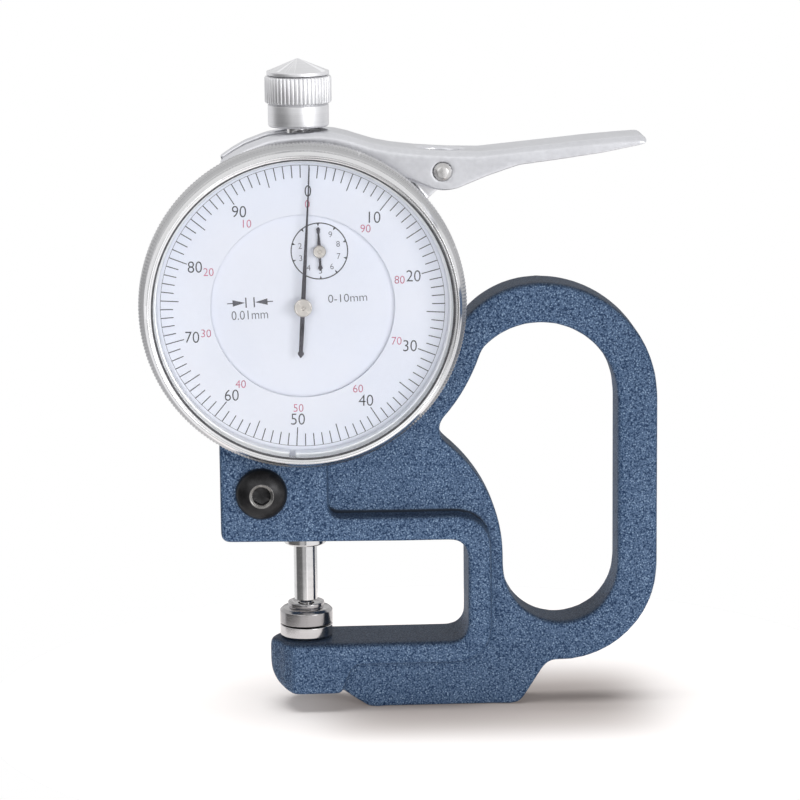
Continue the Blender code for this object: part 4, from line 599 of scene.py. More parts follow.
class Groups:
    """Effects that several finishes share, each one a node group that is built once."""

    @staticmethod
    @cache
    def grain() -> Tree:
        """Fine grain: a fine and a broad noise, as a height and as a light and dark shade.

        Returns:
            The group.
        """
        patch, given = new_group("fine_grain", ("Height", "Shade"), Scale=2000.0)
        vector = patch.scaled(given["Vector"], given["Scale"])
        fine, broad = patch.noise(vector, 3.0, 3.0, 0.6), patch.noise(vector, 0.12, 3.0, 0.5)
        return close_group(patch, Height=fine, Shade=patch.weigh(fine, 0.35, broad, 0.65))

    @staticmethod
    @cache
    def turning() -> Tree:
        """Turning marks: noise read along the radius and the axis, so that it runs in rings.

        Returns:
            The group.
        """
        patch, given = new_group("turning_marks", ("Height", "Shade"), Scale=6000.0)
        parts = patch.parts(given["Vector"])
        square = patch.math("ADD", patch.math("POWER", parts[0], 2.0), patch.math("POWER", parts[1], 2.0))
        rings = patch.add("CombineXYZ", {0: patch.math("SQRT", square), 1: parts[2]})[0]
        vector = patch.scaled(rings, given["Scale"])
        marks, slow = patch.noise(vector, 1.0, 2.0, 0.6), patch.noise(vector, 0.12, 1.0, 0.5)
        return close_group(patch, Height=marks, Shade=patch.weigh(marks, 0.6, slow, 0.4))

    @staticmethod
    @cache
    def wear() -> Tree:
        """Edge wear: where the surface turns outwards sharply and a coarse noise is high.

        Returns:
            The group.
        """
        patch, given = new_group("edge_wear", ("Mask",), Scale=600.0, Start=0.56)
        broken = patch.noise(patch.scaled(given["Vector"], given["Scale"]), 1.0, 4.0, 0.6)
        bent = patch.add("NewGeometry")["Pointiness"]
        bent = patch.math("ADD", bent, patch.math("MULTIPLY", broken, 0.08))
        over = patch.math("SUBTRACT", bent, given["Start"])
        return close_group(patch, Mask=patch.math("MULTIPLY", over, 12.0, clamp=True))

    @staticmethod
    @cache
    def pooled() -> Tree:
        """Painted shade: upward faces are darkened, fully where they turn inwards and by a share elsewhere, unevenly.

        Returns:
            The group.
        """
        patch, given = new_group("upward_painted_shade", ("Mask",), Scale=600.0, Start=0.49)
        surface = patch.add("NewGeometry")
        upward = patch.parts(surface["Normal"])[2]
        uneven = patch.noise(patch.scaled(given["Vector"], given["Scale"]), 1.0, 2.0, 0.5)
        uneven = patch.math("MULTIPLY", patch.math("SUBTRACT", uneven, 0.5), 0.006)
        # painted shade in hollows: where the surface turns inwards and faces up it is darkened fully
        hollow_shade = patch.math("ADD", patch.math("SUBTRACT", given["Start"], surface["Pointiness"]), uneven)
        hollow_shade = patch.math("MULTIPLY", hollow_shade, 45.0, clamp=True)
        hollow_shade = patch.math("MULTIPLY", hollow_shade, patch.span(upward, 0.1, 0.6))
        return close_group(patch, Mask=patch.math("MAXIMUM", hollow_shade, patch.span(upward, 0.25, 0.85, 0.0, 0.55)))


def toned(colour: Colour, factor: float, plus: float = 0.0) -> Colour:
    """Gives a colour times a factor plus a number, up to 1."""
    return tuple(min(1.0, part * factor + plus) for part in colour)


class Finish:
    """What every finish has: a name and a material with a Principled shader."""

    name: str

    def make(self) -> bpy.types.Material:
        """Builds the material.

        Returns:
            The material.
        """
        material = bpy.data.materials.new(self.name)
        material.use_nodes = True
        patch = Patch(material.node_tree)
        self.dress(patch, patch.add("TexCoord")["Object"])
        return material

    def dress(self, patch: Patch, vector: Socket) -> None:
        """Fills the shader from the object's coordinates."""
        raise NotImplementedError


@dataclass(frozen=True)
class HammerPaint(Finish):
    """Paint that dries in small raised cells, lighter on the cells and darker between them."""

    name: str
    middle: Colour
    light: Colour
    dark: Colour
    cell: float
    roughness: float
    depth: float

    def dress(self, patch: Patch, vector: Socket) -> None:
        """Fills the shader: cells from warped Voronoi distance, two noises, and painted shade on upward faces and in
        upward hollows.

        Args:
            patch: The material's patch.
            vector: The object's coordinates.
        """
        size = self.cell * MM
        warp = patch.add("TexNoise", {"Vector": vector, "Scale": 0.7 / size, "Detail": 2.0})["Color"]
        shift = patch.add("VectorMath", {0: warp, 1: (size * 0.9,) * 3, 2: vector}, operation="MULTIPLY_ADD")[0]
        cells = patch.add("TexVoronoi", {"Vector": shift, "Scale": 1.0 / size, "Smoothness": 0.35},
                          feature="SMOOTH_F1")
        fine, coarse = patch.noise(vector, 1.1 / size, 3.0, 0.6), patch.noise(vector, 0.16 / size, 3.0, 0.5)
        dome = patch.math("SUBTRACT", 1.0, cells["Distance"])
        speck = patch.math("ADD", patch.weigh(dome, 0.45, fine, 0.7), patch.math("MULTIPLY", coarse, 0.08))
        low = patch.mix(patch.span(speck, 0.45, 0.66), self.dark, self.middle)
        colour = patch.mix(patch.span(speck, 0.68, 0.86), low, self.light)
        # painted shade: upward faces and upward hollows are darkened towards a deep blue
        painted_shade = patch.effect(Groups.pooled(), vector, scale=900.0, start=0.494)["Mask"]
        patch.shade({"Base Color": patch.mix(painted_shade, colour, toned(self.middle, 0.12, 0.010)),
                     "Roughness": patch.span(fine, 0.3, 0.7, self.roughness - 0.08, self.roughness + 0.1),
                     "Specular IOR Level": 0.12})
        patch.bump(patch.weigh(dome, 0.75, fine, 0.5), 0.9, self.depth)


@dataclass(frozen=True)
class Metal(Finish):
    """Bare metal with turning marks about a line or fine grain, a little wear on its edges and faint stains."""

    name: str
    colour: Colour
    roughness: float
    line: Line | None = None
    mark: float = 0.12
    depth: float = 0.004
    contrast: float = 0.16
    spread: float = 0.10
    edge: float = 0.57

    def dress(self, patch: Patch, vector: Socket) -> None:
        """Fills the shader.

        Args:
            patch: The material's patch.
            vector: The object's coordinates.
        """
        scale = 1.0 / (self.mark * MM)
        if self.line is None:
            marks = patch.effect(Groups.grain(), vector, scale=scale)
        else:
            marks = patch.effect(Groups.turning(), patch.centred(vector, self.line), scale=scale)
        tone = patch.weigh(marks["Shade"], 0.7, patch.noise(vector, 140.0, 4.0, 0.6), 0.3)
        base = patch.mix(patch.span(tone, 0.3, 0.7), toned(self.colour, 1.0 - self.contrast),
                         toned(self.colour, 1.0 + self.contrast * 0.6))
        worn = patch.effect(Groups.wear(), vector, scale=500.0, start=self.edge)["Mask"]
        rough = patch.span(tone, 0.25, 0.75, max(0.03, self.roughness - self.spread), self.roughness + self.spread)
        patch.shade({"Metallic": 1.0, "Base Color": patch.mix(worn, base, toned(self.colour, 1.2, 0.04)),
                     "Roughness": rough})
        patch.bump(marks["Height"], 0.5, self.depth)


@dataclass(frozen=True)
class Enamel(Finish):
    """A sprayed pale dial: very fine grain, a faint tint from patch to patch and a low sheen."""

    name: str
    colour: Colour
    roughness: float

    def dress(self, patch: Patch, vector: Socket) -> None:
        """Fills the shader.

        Args:
            patch: The material's patch.
            vector: The object's coordinates.
        """
        grain = patch.effect(Groups.grain(), vector, scale=9000.0)
        tone = patch.weigh(grain["Shade"], 0.5, patch.noise(vector, 60.0, 2.0, 0.5), 0.5)
        rough = patch.span(grain["Height"], 0.3, 0.7, self.roughness - 0.05, self.roughness + 0.05)
        colour = patch.mix(patch.span(tone, 0.35, 0.65), toned(self.colour, 0.965), self.colour)
        patch.shade({"Base Color": colour, "Roughness": rough})
        patch.bump(grain["Height"], 0.15, 0.002)


@dataclass(frozen=True)
class Ink(Finish):
    """Printed ink, a little uneven in its cover."""

    name: str
    colour: Colour
    roughness: float = 0.5

    def dress(self, patch: Patch, vector: Socket) -> None:
        """Fills the shader.

        Args:
            patch: The material's patch.
            vector: The object's coordinates.
        """
        grain = patch.effect(Groups.grain(), vector, scale=7000.0)["Shade"]
        colour = patch.mix(patch.span(grain, 0.4, 0.65), self.colour, toned(self.colour, 1.5, 0.02))
        patch.shade({"Base Color": colour, "Roughness": self.roughness})


@dataclass(frozen=True)
class Blackened(Finish):
    """Black oxide on steel: nearly black, with a satin gloss and brighter rubbed edges."""

    name: str
    colour: Colour
    roughness: float
    edge: float

    def dress(self, patch: Patch, vector: Socket) -> None:
        """Fills the shader.

        Args:
            patch: The material's patch.
            vector: The object's coordinates.
        """
        grain = patch.effect(Groups.grain(), vector, scale=5000.0)
        worn = patch.effect(Groups.wear(), vector, scale=900.0, start=self.edge)["Mask"]
        base = patch.mix(patch.span(grain["Shade"], 0.35, 0.7), self.colour, toned(self.colour, 2.2, 0.01))
        rough = patch.span(grain["Height"], 0.3, 0.7, self.roughness - 0.06, self.roughness + 0.08)
        patch.shade({"Base Color": patch.mix(worn, base, (0.30, 0.29, 0.28)), "Roughness": rough, "Metallic": 0.6})
        patch.bump(grain["Height"], 0.3, 0.004)


@dataclass(frozen=True)
class ClearGlass(Finish):
    """The crystal: clear glass with a faint uneven tint, which lets lamps and the room light what it covers."""

    name: str
    refraction: float

    def dress(self, patch: Patch, vector: Socket) -> None:
        """Fills the shader.

        Args:
            patch: The material's patch.
            vector: The object's coordinates.
        """
        tint = patch.span(patch.noise(vector, 45.0, 3.0, 0.5), 0.35, 0.7)
        patch.shade({"Base Color": patch.mix(tint, (0.96, 0.975, 1.0), (1.0, 1.0, 1.0)), "Roughness": 0.0,
                     "IOR": self.refraction, "Transmission Weight": 1.0,
                     "Alpha": patch.math("SUBTRACT", 1.0, patch.rays("Is Shadow Ray", "Is Diffuse Ray"))})


@dataclass(frozen=True)
class Stone(Finish):
    """A red bearing stone: glossy, with a faint swirl."""

    name: str
    colour: Colour

    def dress(self, patch: Patch, vector: Socket) -> None:
        """Fills the shader.

        Args:
            patch: The material's patch.
            vector: The object's coordinates.
        """
        swirl = patch.span(patch.noise(vector, 900.0, 4.0, 0.6), 0.35, 0.65)
        patch.shade({"Base Color": patch.mix(swirl, self.colour, toned(self.colour, 1.6, 0.03)), "Roughness": 0.08,
                     "Coat Weight": 0.5})


class Look(Enum):
    """All finishes of the gauge, each with its slot in the record. A slot's first look dresses its CAD nodes."""

    PAINT = "frame_paint", HammerPaint("hammer_blue", (0.084, 0.138, 0.238), (0.29, 0.40, 0.55),
                                       (0.014, 0.036, 0.088), 0.32, 0.50, 0.06)
    BLACK_SCREW = "black_screw", Blackened("black_oxide", (0.009, 0.009, 0.010), 0.32, 0.60)
    RUBBED = "black_screw", Metal("rubbed_rim", (0.22, 0.215, 0.21), 0.26, None, 0.08, 0.004, 0.3, 0.08)
    GROUND = "ground_steel", Metal("ground_steel", (0.62, 0.615, 0.615), 0.14, AT.spindle, 0.10, 0.002, 0.10, 0.05)
    LAPPED = "ground_steel", Metal("lapped_carbide", (0.37, 0.36, 0.365), 0.17, AT.spindle, 0.10, 0.002, 0.10, 0.05)
    ANVIL = "ground_steel", Metal("lapped_steel", (0.55, 0.54, 0.545), 0.13, AT.spindle, 0.10, 0.002, 0.10, 0.03)
    PLAIN = "plain_steel", Metal("plain_steel", (0.60, 0.59, 0.585), 0.28)
    CAP = "cap_aluminium", Metal("turned_aluminium", (0.76, 0.76, 0.775), 0.42, AT.spindle, 0.14, 0.003, 0.08, 0.06)
    LEVER = "lever_aluminium", Metal("satin_aluminium", (0.69, 0.695, 0.725), 0.34, None, 0.10, 0.004, 0.06, 0.05,
                                     0.9)
    CASE = "case_metal", Metal("case_aluminium", (0.78, 0.78, 0.80), 0.36, AT.dial, 0.16, 0.004, 0.12, 0.08)
    BEZEL = "bezel_chrome", Metal("satin_chrome", (0.79, 0.79, 0.80), 0.20, AT.dial, 0.12, 0.0015, 0.07, 0.05)
    # the knurled band's darker colour is painted shade of its grooves; its rougher finish is the knurl's own
    KNURL = "bezel_chrome", Metal("knurled_chrome_painted_shade", (0.50, 0.50, 0.51), 0.30, AT.dial, 0.12, 0.0015, 0.12, 0.06)
    HUB = "bezel_chrome", Metal("hub_nickel", (0.60, 0.565, 0.525), 0.30, AT.dial, 0.10, 0.0008, 0.05, 0.03)
    COUNTER_HUB = "bezel_chrome", Metal("counter_hub_nickel", (0.60, 0.565, 0.525), 0.30, AT.counter, 0.10, 0.0008,
                                        0.05, 0.03)
    CRYSTAL = "crystal", ClearGlass("clear_crystal", 1.46)
    RING = "plain_metal", Metal("ring_metal", (0.86, 0.87, 0.88), 0.45, AT.dial, 0.12, 0.001, 0.05, 0.04)
    ENAMEL = "dial_enamel", Enamel("dial_enamel", (0.800, 0.828, 0.925), 0.45)
    OUTER_ENAMEL = "dial_enamel", Enamel("scale_enamel", (0.805, 0.83, 0.92), 0.45)
    BRASS = "movement_brass", Metal("movement_brass", (0.74, 0.54, 0.24), 0.26, AT.dial, 0.14, 0.003, 0.14, 0.08)
    SPRING = "spring_steel", Metal("spring_steel", (0.42, 0.42, 0.46), 0.24)
    HAND = "pointer_black", Blackened("blackened_hand", (0.030, 0.028, 0.036), 0.40, 0.66)
    BLACK_INK = "pointer_black", Ink("black_ink", (0.022, 0.022, 0.030))
    GREY_INK = "pointer_black", Ink("grey_ink", (0.06, 0.06, 0.078))
    SEAL = "pointer_black", Ink("grey_seal", (0.06, 0.06, 0.066), 0.6)
    JEWEL = "jewel", Stone("bearing_stone", (0.42, 0.015, 0.06))
    RED_INK = "jewel", Ink("red_ink", (0.42, 0.08, 0.155))

    def __init__(self, slot: str, finish: Finish) -> None:
        """Keeps the slot and the finish."""
        self.slot, self.finish = slot, finish

    @cached_property
    def material(self) -> bpy.types.Material:
        """The finish's material, made once."""
        return self.finish.make()

    @classmethod
    def of_slot(cls, slot: str) -> "Look":
        """Returns the first look of a slot."""
        return next(look for look in cls if look.slot == slot)


def enter(piece: Piece, body: Body, look: Look, *nodes: str) -> Piece:
    """Gives a piece its material and its body, and hides the CAD nodes that it stands for.

    Args:
        piece: The finished piece.
        body: The body that it rides on.
        look: Its finish.
        *nodes: CAD nodes that it replaces.

    Returns:
        The same piece.
    """
    piece.data.materials.clear()
    piece.data.materials.append(look.material)
    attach(piece, body.value)
    if nodes:
        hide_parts(*nodes)
    LOG.info("%s: %d faces on %s", piece.name, len(piece.data.polygons), body.value)
    return piece


# Sub-assemblies


@dataclass
class Casting:
    """The painted frame, its clamp screw and the anvil."""

    voxel: float = 0.42
    passes: int = 22
    screw_line: Line = Line(-34.4, 43.0)
    screw_seat: float = -7.8
    screw_head: float = 4.85
    screw_height: float = 2.7
    screw_shank: float = 2.5
    screw_end: float = 6.7
    socket_flats: float = 3.2
    socket_depth: float = 1.7
    nose_tip: float = -33.1
    nose_top: float = 18.0
    nose_radius: float = 5.5
    half_thickness: float = 7.5
    web_start: float = 4.9
    web_end: float = 5.9
    web_sunk: float = 0.7
    grip_swell: float = 0.9
    lower_draft: float = 0.45
    upper_draft: float = 0.5

    def build(self) -> None:
        """Builds all three pieces."""
        body = softened_copy("painted_frame", "frame_casting", self.voxel, self.passes)
        self.ease_forms(body)
        enter(body, Body.FRAME, Look.PAINT, "frame_casting")
        enter(self.screw(), Body.FRAME, Look.BLACK_SCREW, "clamp_screw")
        face = self.screw_seat - self.screw_height
        line = [(1.72, face + 0.32), (1.8, face + 0.24), (2.12, face + 0.06), (2.24, face), (2.3, face + 0.03),
                (2.1, face + 0.3), (1.8, face + 0.4)]
        rim = turned_piece("socket_rim", line, 64, self.screw_line, True, sharp=60.0, weighted=False)
        enter(rim, Body.FRAME, Look.RUBBED)
        line = [(0.0, 8.9), (2.0, 8.9, 0.2), (2.0, 13.7), (5.0, 13.7, 0.35), (5.0, 15.9, 0.14), (0.0, 15.9)]
        enter(turned_piece("anvil_disc", line, 96, AT.spindle, arc=6), Body.FRAME, Look.ANVIL, "anvil")

    def ease_forms(self, piece: Piece) -> None:
        """Gives the casting its softer forms.

        At the lower jaw's tip the upright edges are rounded: where a point lies d past the rounding's start,
        its distance from the middle plane shrinks by (h - r + sqrt(r ** 2 - d ** 2)) / h, for the half
        thickness h and the radius r. The web is a little thinner beside the rim and swells towards the grip:
        distances from the middle plane gain an offset times two fades, which rise up to web_start and fall to
        nothing at web_end, and the offset runs from -web_sunk to grip_swell along X and Z. The jaws'
        undersides are drafted: they move along Z by a given height times two fades, one along X and one
        along Z.

        Args:
            piece: The frame.
        """
        x, y, z = read(piece.data.vertices).T / MM
        depth = np.abs(y)
        towards_grip = np.maximum(np.interp(x, [9.0, 24.0], [0.0, 1.0]), np.interp(z, [46.0, 58.0], [0.0, 1.0]))
        offset = (self.web_sunk + self.grip_swell) * towards_grip - self.web_sunk
        rise = np.clip(depth / self.web_start, 0.0, 1.0)
        fall = np.clip((self.web_end - depth) / (self.web_end - self.web_start), 0.0, 1.0)
        depth = depth + offset * rise * fall
        radius = self.nose_radius
        past = np.clip(self.nose_tip + radius - x, 0.0, radius - 0.05)
        share = 1.0 - (radius - np.sqrt(radius ** 2 - past ** 2)) / self.half_thickness
        depth = np.where(z < self.nose_top, depth * share, depth)
        lower = np.interp(x, [-17.0, -11.5], [1.0, 0.0]) * np.interp(z, [4.0, 9.0], [1.0, 0.0])
        upper = np.interp(x, [-48.0, -8.0], [1.0, 0.0]) * np.interp(z, [20.0, 30.0, 37.0, 44.0], [0.0, 1.0, 1.0, 0.0])
        z = z + self.upper_draft * upper - self.lower_draft * lower
        piece.data.vertices.foreach_set("co", (np.stack([x, np.sign(y) * depth, z], axis=1) * MM).reshape(-1))
        piece.data.update()

    def screw(self) -> Piece:
        """Makes the button-head screw.

        Its rows run from the shank's end round the domed head to the socket's floor. A row's radius is the
        profile's. In the socket it is also times a hexagon's, which is the half width across flats over
        cos(angle from the nearest flat's middle).

        Returns:
            The screw.
        """
        seat, head = self.screw_seat, self.screw_head
        face = seat - self.screw_height
        foot = fillet_line([(0.0, self.screw_end), (self.screw_shank, self.screw_end, 0.5), (self.screw_shank, seat),
                            (head, seat, 0.12), (head, seat - 0.3)])
        rise = np.linspace(0.0, math.radians(61.0), 14)
        height = (self.screw_height - 0.3) / math.sin(rise[-1])
        crown = np.stack([head * np.cos(rise), seat - 0.3 - height * np.sin(rise)], axis=1)
        floor = face + self.socket_depth
        inner = np.array([(2.28, face + 0.03), (2.2, face + 0.07), (1.0, face + 0.52), (1.0, face + 0.58),
                          (1.0, face + 1.1), (1.0, floor - 0.05), (0.95, floor), (0.0, floor + 0.35)])
        line = np.concatenate([foot, crown, inner])
        sixth = math.pi / 3.0
        hexagon = self.socket_flats / 2.0 / np.cos((around(96) + sixth / 2.0) % sixth - sixth / 2.0)
        ripple = np.zeros((len(line), 96))
        ripple[-6:-1] = line[-6:-1, :1] * (hexagon - 1.0)
        shape = turned(line, 96, self.screw_line, ripple=ripple)
        return write_piece("clamp_screw_black", shape, 30.0, True)


@dataclass
class Plunger:
    """The spindle with its rack, the contact, the lifting cap and both bushes."""

    spindle_radius: float = 2.2
    rack_pitch: float = 0.8333333
    rack_teeth: int = 19
    rack_tip: float = -28.0473
    rack_root: float = -27.4770
    rack_middle: float = 69.0946
    root_share: float = 0.28
    tip_share: float = 0.09
    travel: float = 10.0
    cap_teeth: int = 48
    cap_knurl: float = 6.2
    cap_depth: float = 0.26

    def build(self) -> None:
        """Builds all pieces that the spindle carries or runs in."""
        enter(self.spindle(), Body.PLUNGER, Look.GROUND, "spindle")
        line = [(0.0, 16.2), (5.0, 16.2, 0.14), (5.0, 18.6, 0.25), (4.5, 19.1, 0.4), (3.45, 19.3, 0.1), (3.36, 19.4),
                (3.45, 19.55, 0.1), (3.45, 20.35, 0.18), (2.75, 20.05, 0.25), (2.45, 19.85, 0.1), (1.55, 19.85),
                (1.55, 17.6), (0.0, 17.6)]
        contact = turned_piece("contact_disc", line, 96, AT.spindle, arc=6)
        enter(contact, Body.PLUNGER, Look.LAPPED, "contact_tip")
        enter(self.cap(), Body.PLUNGER, Look.CAP, "lifting_cap")
        line = [(2.5, 31.6), (4.0, 31.6, 0.35), (4.0, 54.3), (2.5, 54.3)]
        enter(turned_piece("stem_tube", line, 72, AT.spindle, True), Body.FRAME, Look.GROUND, "stem_bush")
        line = [(2.5, 104.1), (3.0, 104.1), (3.0, 107.1), (3.9, 107.1, 0.15), (3.9, 107.9, 0.25), (2.5, 107.9, 0.1)]
        enter(turned_piece("top_bush", line, 64, AT.spindle, True, 4), Body.FRAME, Look.GROUND, "upper_bush")

    def spindle(self) -> Piece:
        """Makes the spindle.

        The grid's rows run along Z and its columns round the section. A point is (max(R cos t, c(z)), R sin t),
        where c(z) is the rack's line: the tips' place over a tooth, the roots' place in a gap and the
        spindle's own side elsewhere.

        Returns:
            The spindle.
        """
        radius, pitch = self.spindle_radius, self.rack_pitch
        below = int(self.travel / pitch) + 3
        middles = self.rack_middle - pitch * (below + 0.5) + pitch * np.arange(1, self.rack_teeth - 1)
        root, tip = self.root_share, self.tip_share
        cuts = middles[:, None] + pitch * np.array([-root, -tip, tip, root])
        side = AT.spindle.a - radius
        depths = np.tile([self.rack_root, self.rack_tip, self.rack_tip, self.rack_root], len(middles))
        z = np.concatenate([[17.9, 17.9, 20.65, 20.65, 20.8, 30.0, cuts[0, 0] - 0.02], cuts.reshape(-1),
                            [cuts[-1, -1] + 0.02, 90.0, 117.9, 118.1, 118.1]])
        size = np.concatenate([[0.0, 1.25, 1.25, radius - 0.15, radius, radius, radius],
                               np.full(cuts.size, radius), [radius, radius, radius, radius - 0.2, 0.0]])
        limit = np.concatenate([np.full(7, side), depths, np.full(5, side)])
        turn = around(72)[None]
        x = np.maximum(AT.spindle.a + size[:, None] * np.cos(turn), limit[:, None])
        grid = np.stack([x, size[:, None] * np.sin(turn), z[:, None] + 0.0 * x], axis=-1)
        return write_piece("spindle_rack", Shape(grid.reshape(-1, 3), grid_faces(len(z), 72)), weighted=True)

    def cap(self) -> Piece:
        """Makes the lifting cap.

        In the knurled rows the radius gains depth times (1 - c ** 3), where c is the cosine of the angle
        times the number of teeth, cut off below zero. So the teeth are wide and the grooves between them
        are narrow. The gain fades to nothing at the band's ends.

        Returns:
            The cap.
        """
        low, knurl, brim, cone, top = 110.9, 115.2, 120.4, 121.2, 123.5
        root = self.cap_knurl - self.cap_depth
        plain = fillet_line([(0.0, 118.4), (2.5, 118.4), (2.5, low), (5.65, low, 0.5), (5.65, knurl - 0.25, 0.12),
                             (5.45, knurl - 0.12)])
        band = np.array([(root - 0.35, knurl), (root - 0.05, knurl + 0.25), (root, knurl + 0.5),
                         (root, brim - 0.45), (root - 0.05, brim - 0.2), (root - 0.35, brim)])
        crown = fillet_line([(5.3, brim + 0.08), (5.8, brim + 0.12, 0.1), (5.8, cone, 0.2), (5.3, cone + 0.15, 0.1),
                             (0.25, top - 0.04, 0.2), (0.0, top)])
        weight = np.concatenate([np.zeros(len(plain)), [0.0, 0.8, 1.0, 1.0, 0.8, 0.0], np.zeros(len(crown))])
        steps = self.cap_teeth * 8
        wave = 1.0 - np.clip(np.cos(around(steps) * self.cap_teeth), 0.0, 1.0) ** 3
        shape = turned(np.concatenate([plain, band, crown]), steps, AT.spindle,
                       ripple=self.cap_depth * weight[:, None] * wave)
        return write_piece("knurled_cap", shape, 40.0)


@dataclass
class Case:
    """The indicator's case, its back cover and the cover's screws."""

    screw_circle: float = 25.3
    screw_start: float = 45.0
    screws: int = 4
    screw_seat: float = 9.3
    slot_lean: float = 25.0
    slot_reach: float = 2.2
    slot_half: float = 0.2

    def build(self) -> None:
        """Builds the case, the cover with two shallow turned grooves, and the screws."""
        line = [(25.2, -11.5), (26.6, -11.5, 0.2), (26.6, -9.7), (27.6, -9.7, 0.5), (27.6, 7.5, 0.6), (23.2, 7.5),
                (23.2, 4.6), (25.2, 4.6)]
        enter(turned_piece("turned_case", line, 160, closed=True, arc=6), Body.FRAME, Look.CASE, "indicator_case")
        line = [(0.0, 7.8), (27.2, 7.8, 0.15), (27.2, 9.0, 0.45), (23.1, 9.0, 0.1), (22.9, 8.75, 0.1),
                (22.5, 8.75, 0.1), (22.3, 9.0, 0.1), (14.2, 9.0, 0.1), (14.0, 8.8, 0.1), (13.6, 8.8, 0.1),
                (13.4, 9.0, 0.1), (0.0, 9.0)]
        enter(turned_piece("turned_cover", line, 144, arc=4), Body.FRAME, Look.CASE, "back_cover")
        for index in range(self.screws):
            name = f"cover_screw_{index + 1}"
            turn = math.radians(self.screw_start + 360.0 * index / self.screws)
            enter(self.screw(turn, name + "_slotted"), Body.FRAME, Look.PLAIN, name)

    def screw(self, turn: float, name: str) -> Piece:
        """Makes one slotted screw.

        Args:
            turn: The screw's angle round the dial in radians.
            name: The piece's name.

        Returns:
            The screw.
        """
        seat, reach, half = self.screw_seat, self.slot_reach, self.slot_half
        x, z = AT.dial.place + self.screw_circle * np.array([math.cos(turn), math.sin(turn)])
        line = [(0.0, seat - 3.6), (0.8, seat - 3.6, 0.2), (0.8, seat), (1.6, seat, 0.1), (1.6, seat + 0.5, 0.3),
                (0.0, seat + 0.8)]
        piece = turned_piece(name, line, 40, Line(x, z), weighted=False)
        way, across = (part[::-1] for part in spokes(math.degrees(turn) + self.slot_lean))
        corners = np.array([(-reach, -half), (reach, -half), (reach, half), (-reach, half)])
        outline = corners[:, :1] * way + corners[:, 1:] * across + np.array([x, z])
        cutter = write_piece("cutter", slab(outline[None], seat + 0.4, seat + 2.0))
        step = piece.modifiers.new("cut", "BOOLEAN")
        step.operation, step.solver, step.object = "DIFFERENCE", "EXACT", cutter
        bake(piece)
        bpy.data.objects.remove(cutter)
        shade(piece.data)
        return piece


@dataclass
class Bezel:
    """The turning bezel with its knurl, the crystal and the split ring behind it."""

    teeth: int = 284
    depth: float = 0.15
    knurl_radius: float = 30.15
    ring_radius: float = 29.0
    split_radius: float = 27.4
    split_steps: int = 150
    gap_half: float = 0.6
    gap_place: float = 2.4

    def build(self) -> None:
        """Builds the bezel, the crystal, the split ring and the seal."""
        ring = enter(self.ring(), Body.BEZEL, Look.BEZEL, "bezel_ring")
        # faces of the knurled band get the darker material, which is painted shade of the grooves between the teeth
        ring.data.materials.append(Look.KNURL.material)
        middles = read(ring.data.polygons, "center") / MM
        radius = np.hypot(middles[:, 0] - AT.dial.a, middles[:, 2] - AT.dial.b)
        ring.data.polygons.foreach_set("material_index", (radius > self.ring_radius + 0.05).astype(np.int32))
        line = [(0.0, -17.2), (28.0, -17.2, 0.25), (28.0, -15.9, 0.15), (0.0, -15.9)]
        enter(turned_piece("crystal_disc", line, 144, arc=4), Body.BEZEL, Look.CRYSTAL, "crystal")
        enter(self.split_ring(), Body.BEZEL, Look.RING, "crystal_ring")
        line = [(27.36, -18.06), (27.66, -18.06), (27.66, -17.96), (27.36, -17.96)]
        enter(turned_piece("bezel_seal", line, 160, closed=True, weighted=False), Body.BEZEL, Look.SEAL)

    def split_ring(self) -> Piece:
        """Makes the ring behind the crystal: a closed profile turned through all but its gap, and capped.

        Returns:
            The ring.
        """
        line = fillet_line([(26.8, -15.6, 0.3), (28.0, -15.6, 0.1), (28.0, -13.2), (26.8, -13.2, 0.15)], True, 4)
        half, middle = (math.degrees(length / self.split_radius) for length in (self.gap_half, self.gap_place))
        start, end = 270.0 - middle + half, 630.0 - middle - half
        turn = np.radians(np.linspace(start, end, self.split_steps + 1))[:, None]
        grid = placed(line[None, :, 0] + 0.0 * turn, turn, line[None, :, 1], AT.dial)
        shape = Shape(grid.reshape(-1, 3), grid_faces(self.split_steps + 1, len(line), capped=True))
        return write_piece("split_ring", shape, weighted=True)

    def ring(self) -> Piece:
        """Makes the bezel.

        The rows of the grip band gain depth times a tooth wave, 0.5 + 0.5 cos(teeth times the angle). The
        wave fades out at both edges of the band.

        Returns:
            The bezel.
        """
        outer, ring = self.knurl_radius - self.depth, self.ring_radius
        front = fillet_line([
            (28.3, -17.5), (27.35, -17.5, 0.06), (27.35, -17.95, 0.04), (27.66, -17.95), (27.70, -18.4, 0.05),
            (27.85, -18.5, 0.05), (28.04, -18.54), (28.08, -18.48), (28.12, -18.54), (28.36, -18.6, 0.06),
            (28.46, -18.6, 0.05), (ring, -17.5, 0.25), (ring, -15.05, 0.05)])
        band = np.array([(ring + 0.08, -14.9), (outer - 0.12, -14.02), (outer, -13.8), (outer, -12.5),
                         (outer, -10.9), (outer, -10.5), (outer - 0.3, -10.2)])
        back = fillet_line([(ring, -10.1), (27.0, -10.1, 0.15), (27.0, -12.1), (28.3, -12.1), (28.3, -17.5)],
                           steps=4)[:-1]
        weight = np.concatenate([np.zeros(len(front)), [0.0, 0.9, 1.0, 1.0, 1.0, 0.9, 0.1], np.zeros(len(back))])
        steps = self.teeth * 4
        wave = 0.5 + 0.5 * np.cos(self.teeth * around(steps))
        shape = turned(np.concatenate([front, band, back]), steps, AT.dial, True,
                       self.depth * weight[:, None] * wave)
        return write_piece("knurled_bezel", shape, 50.0)


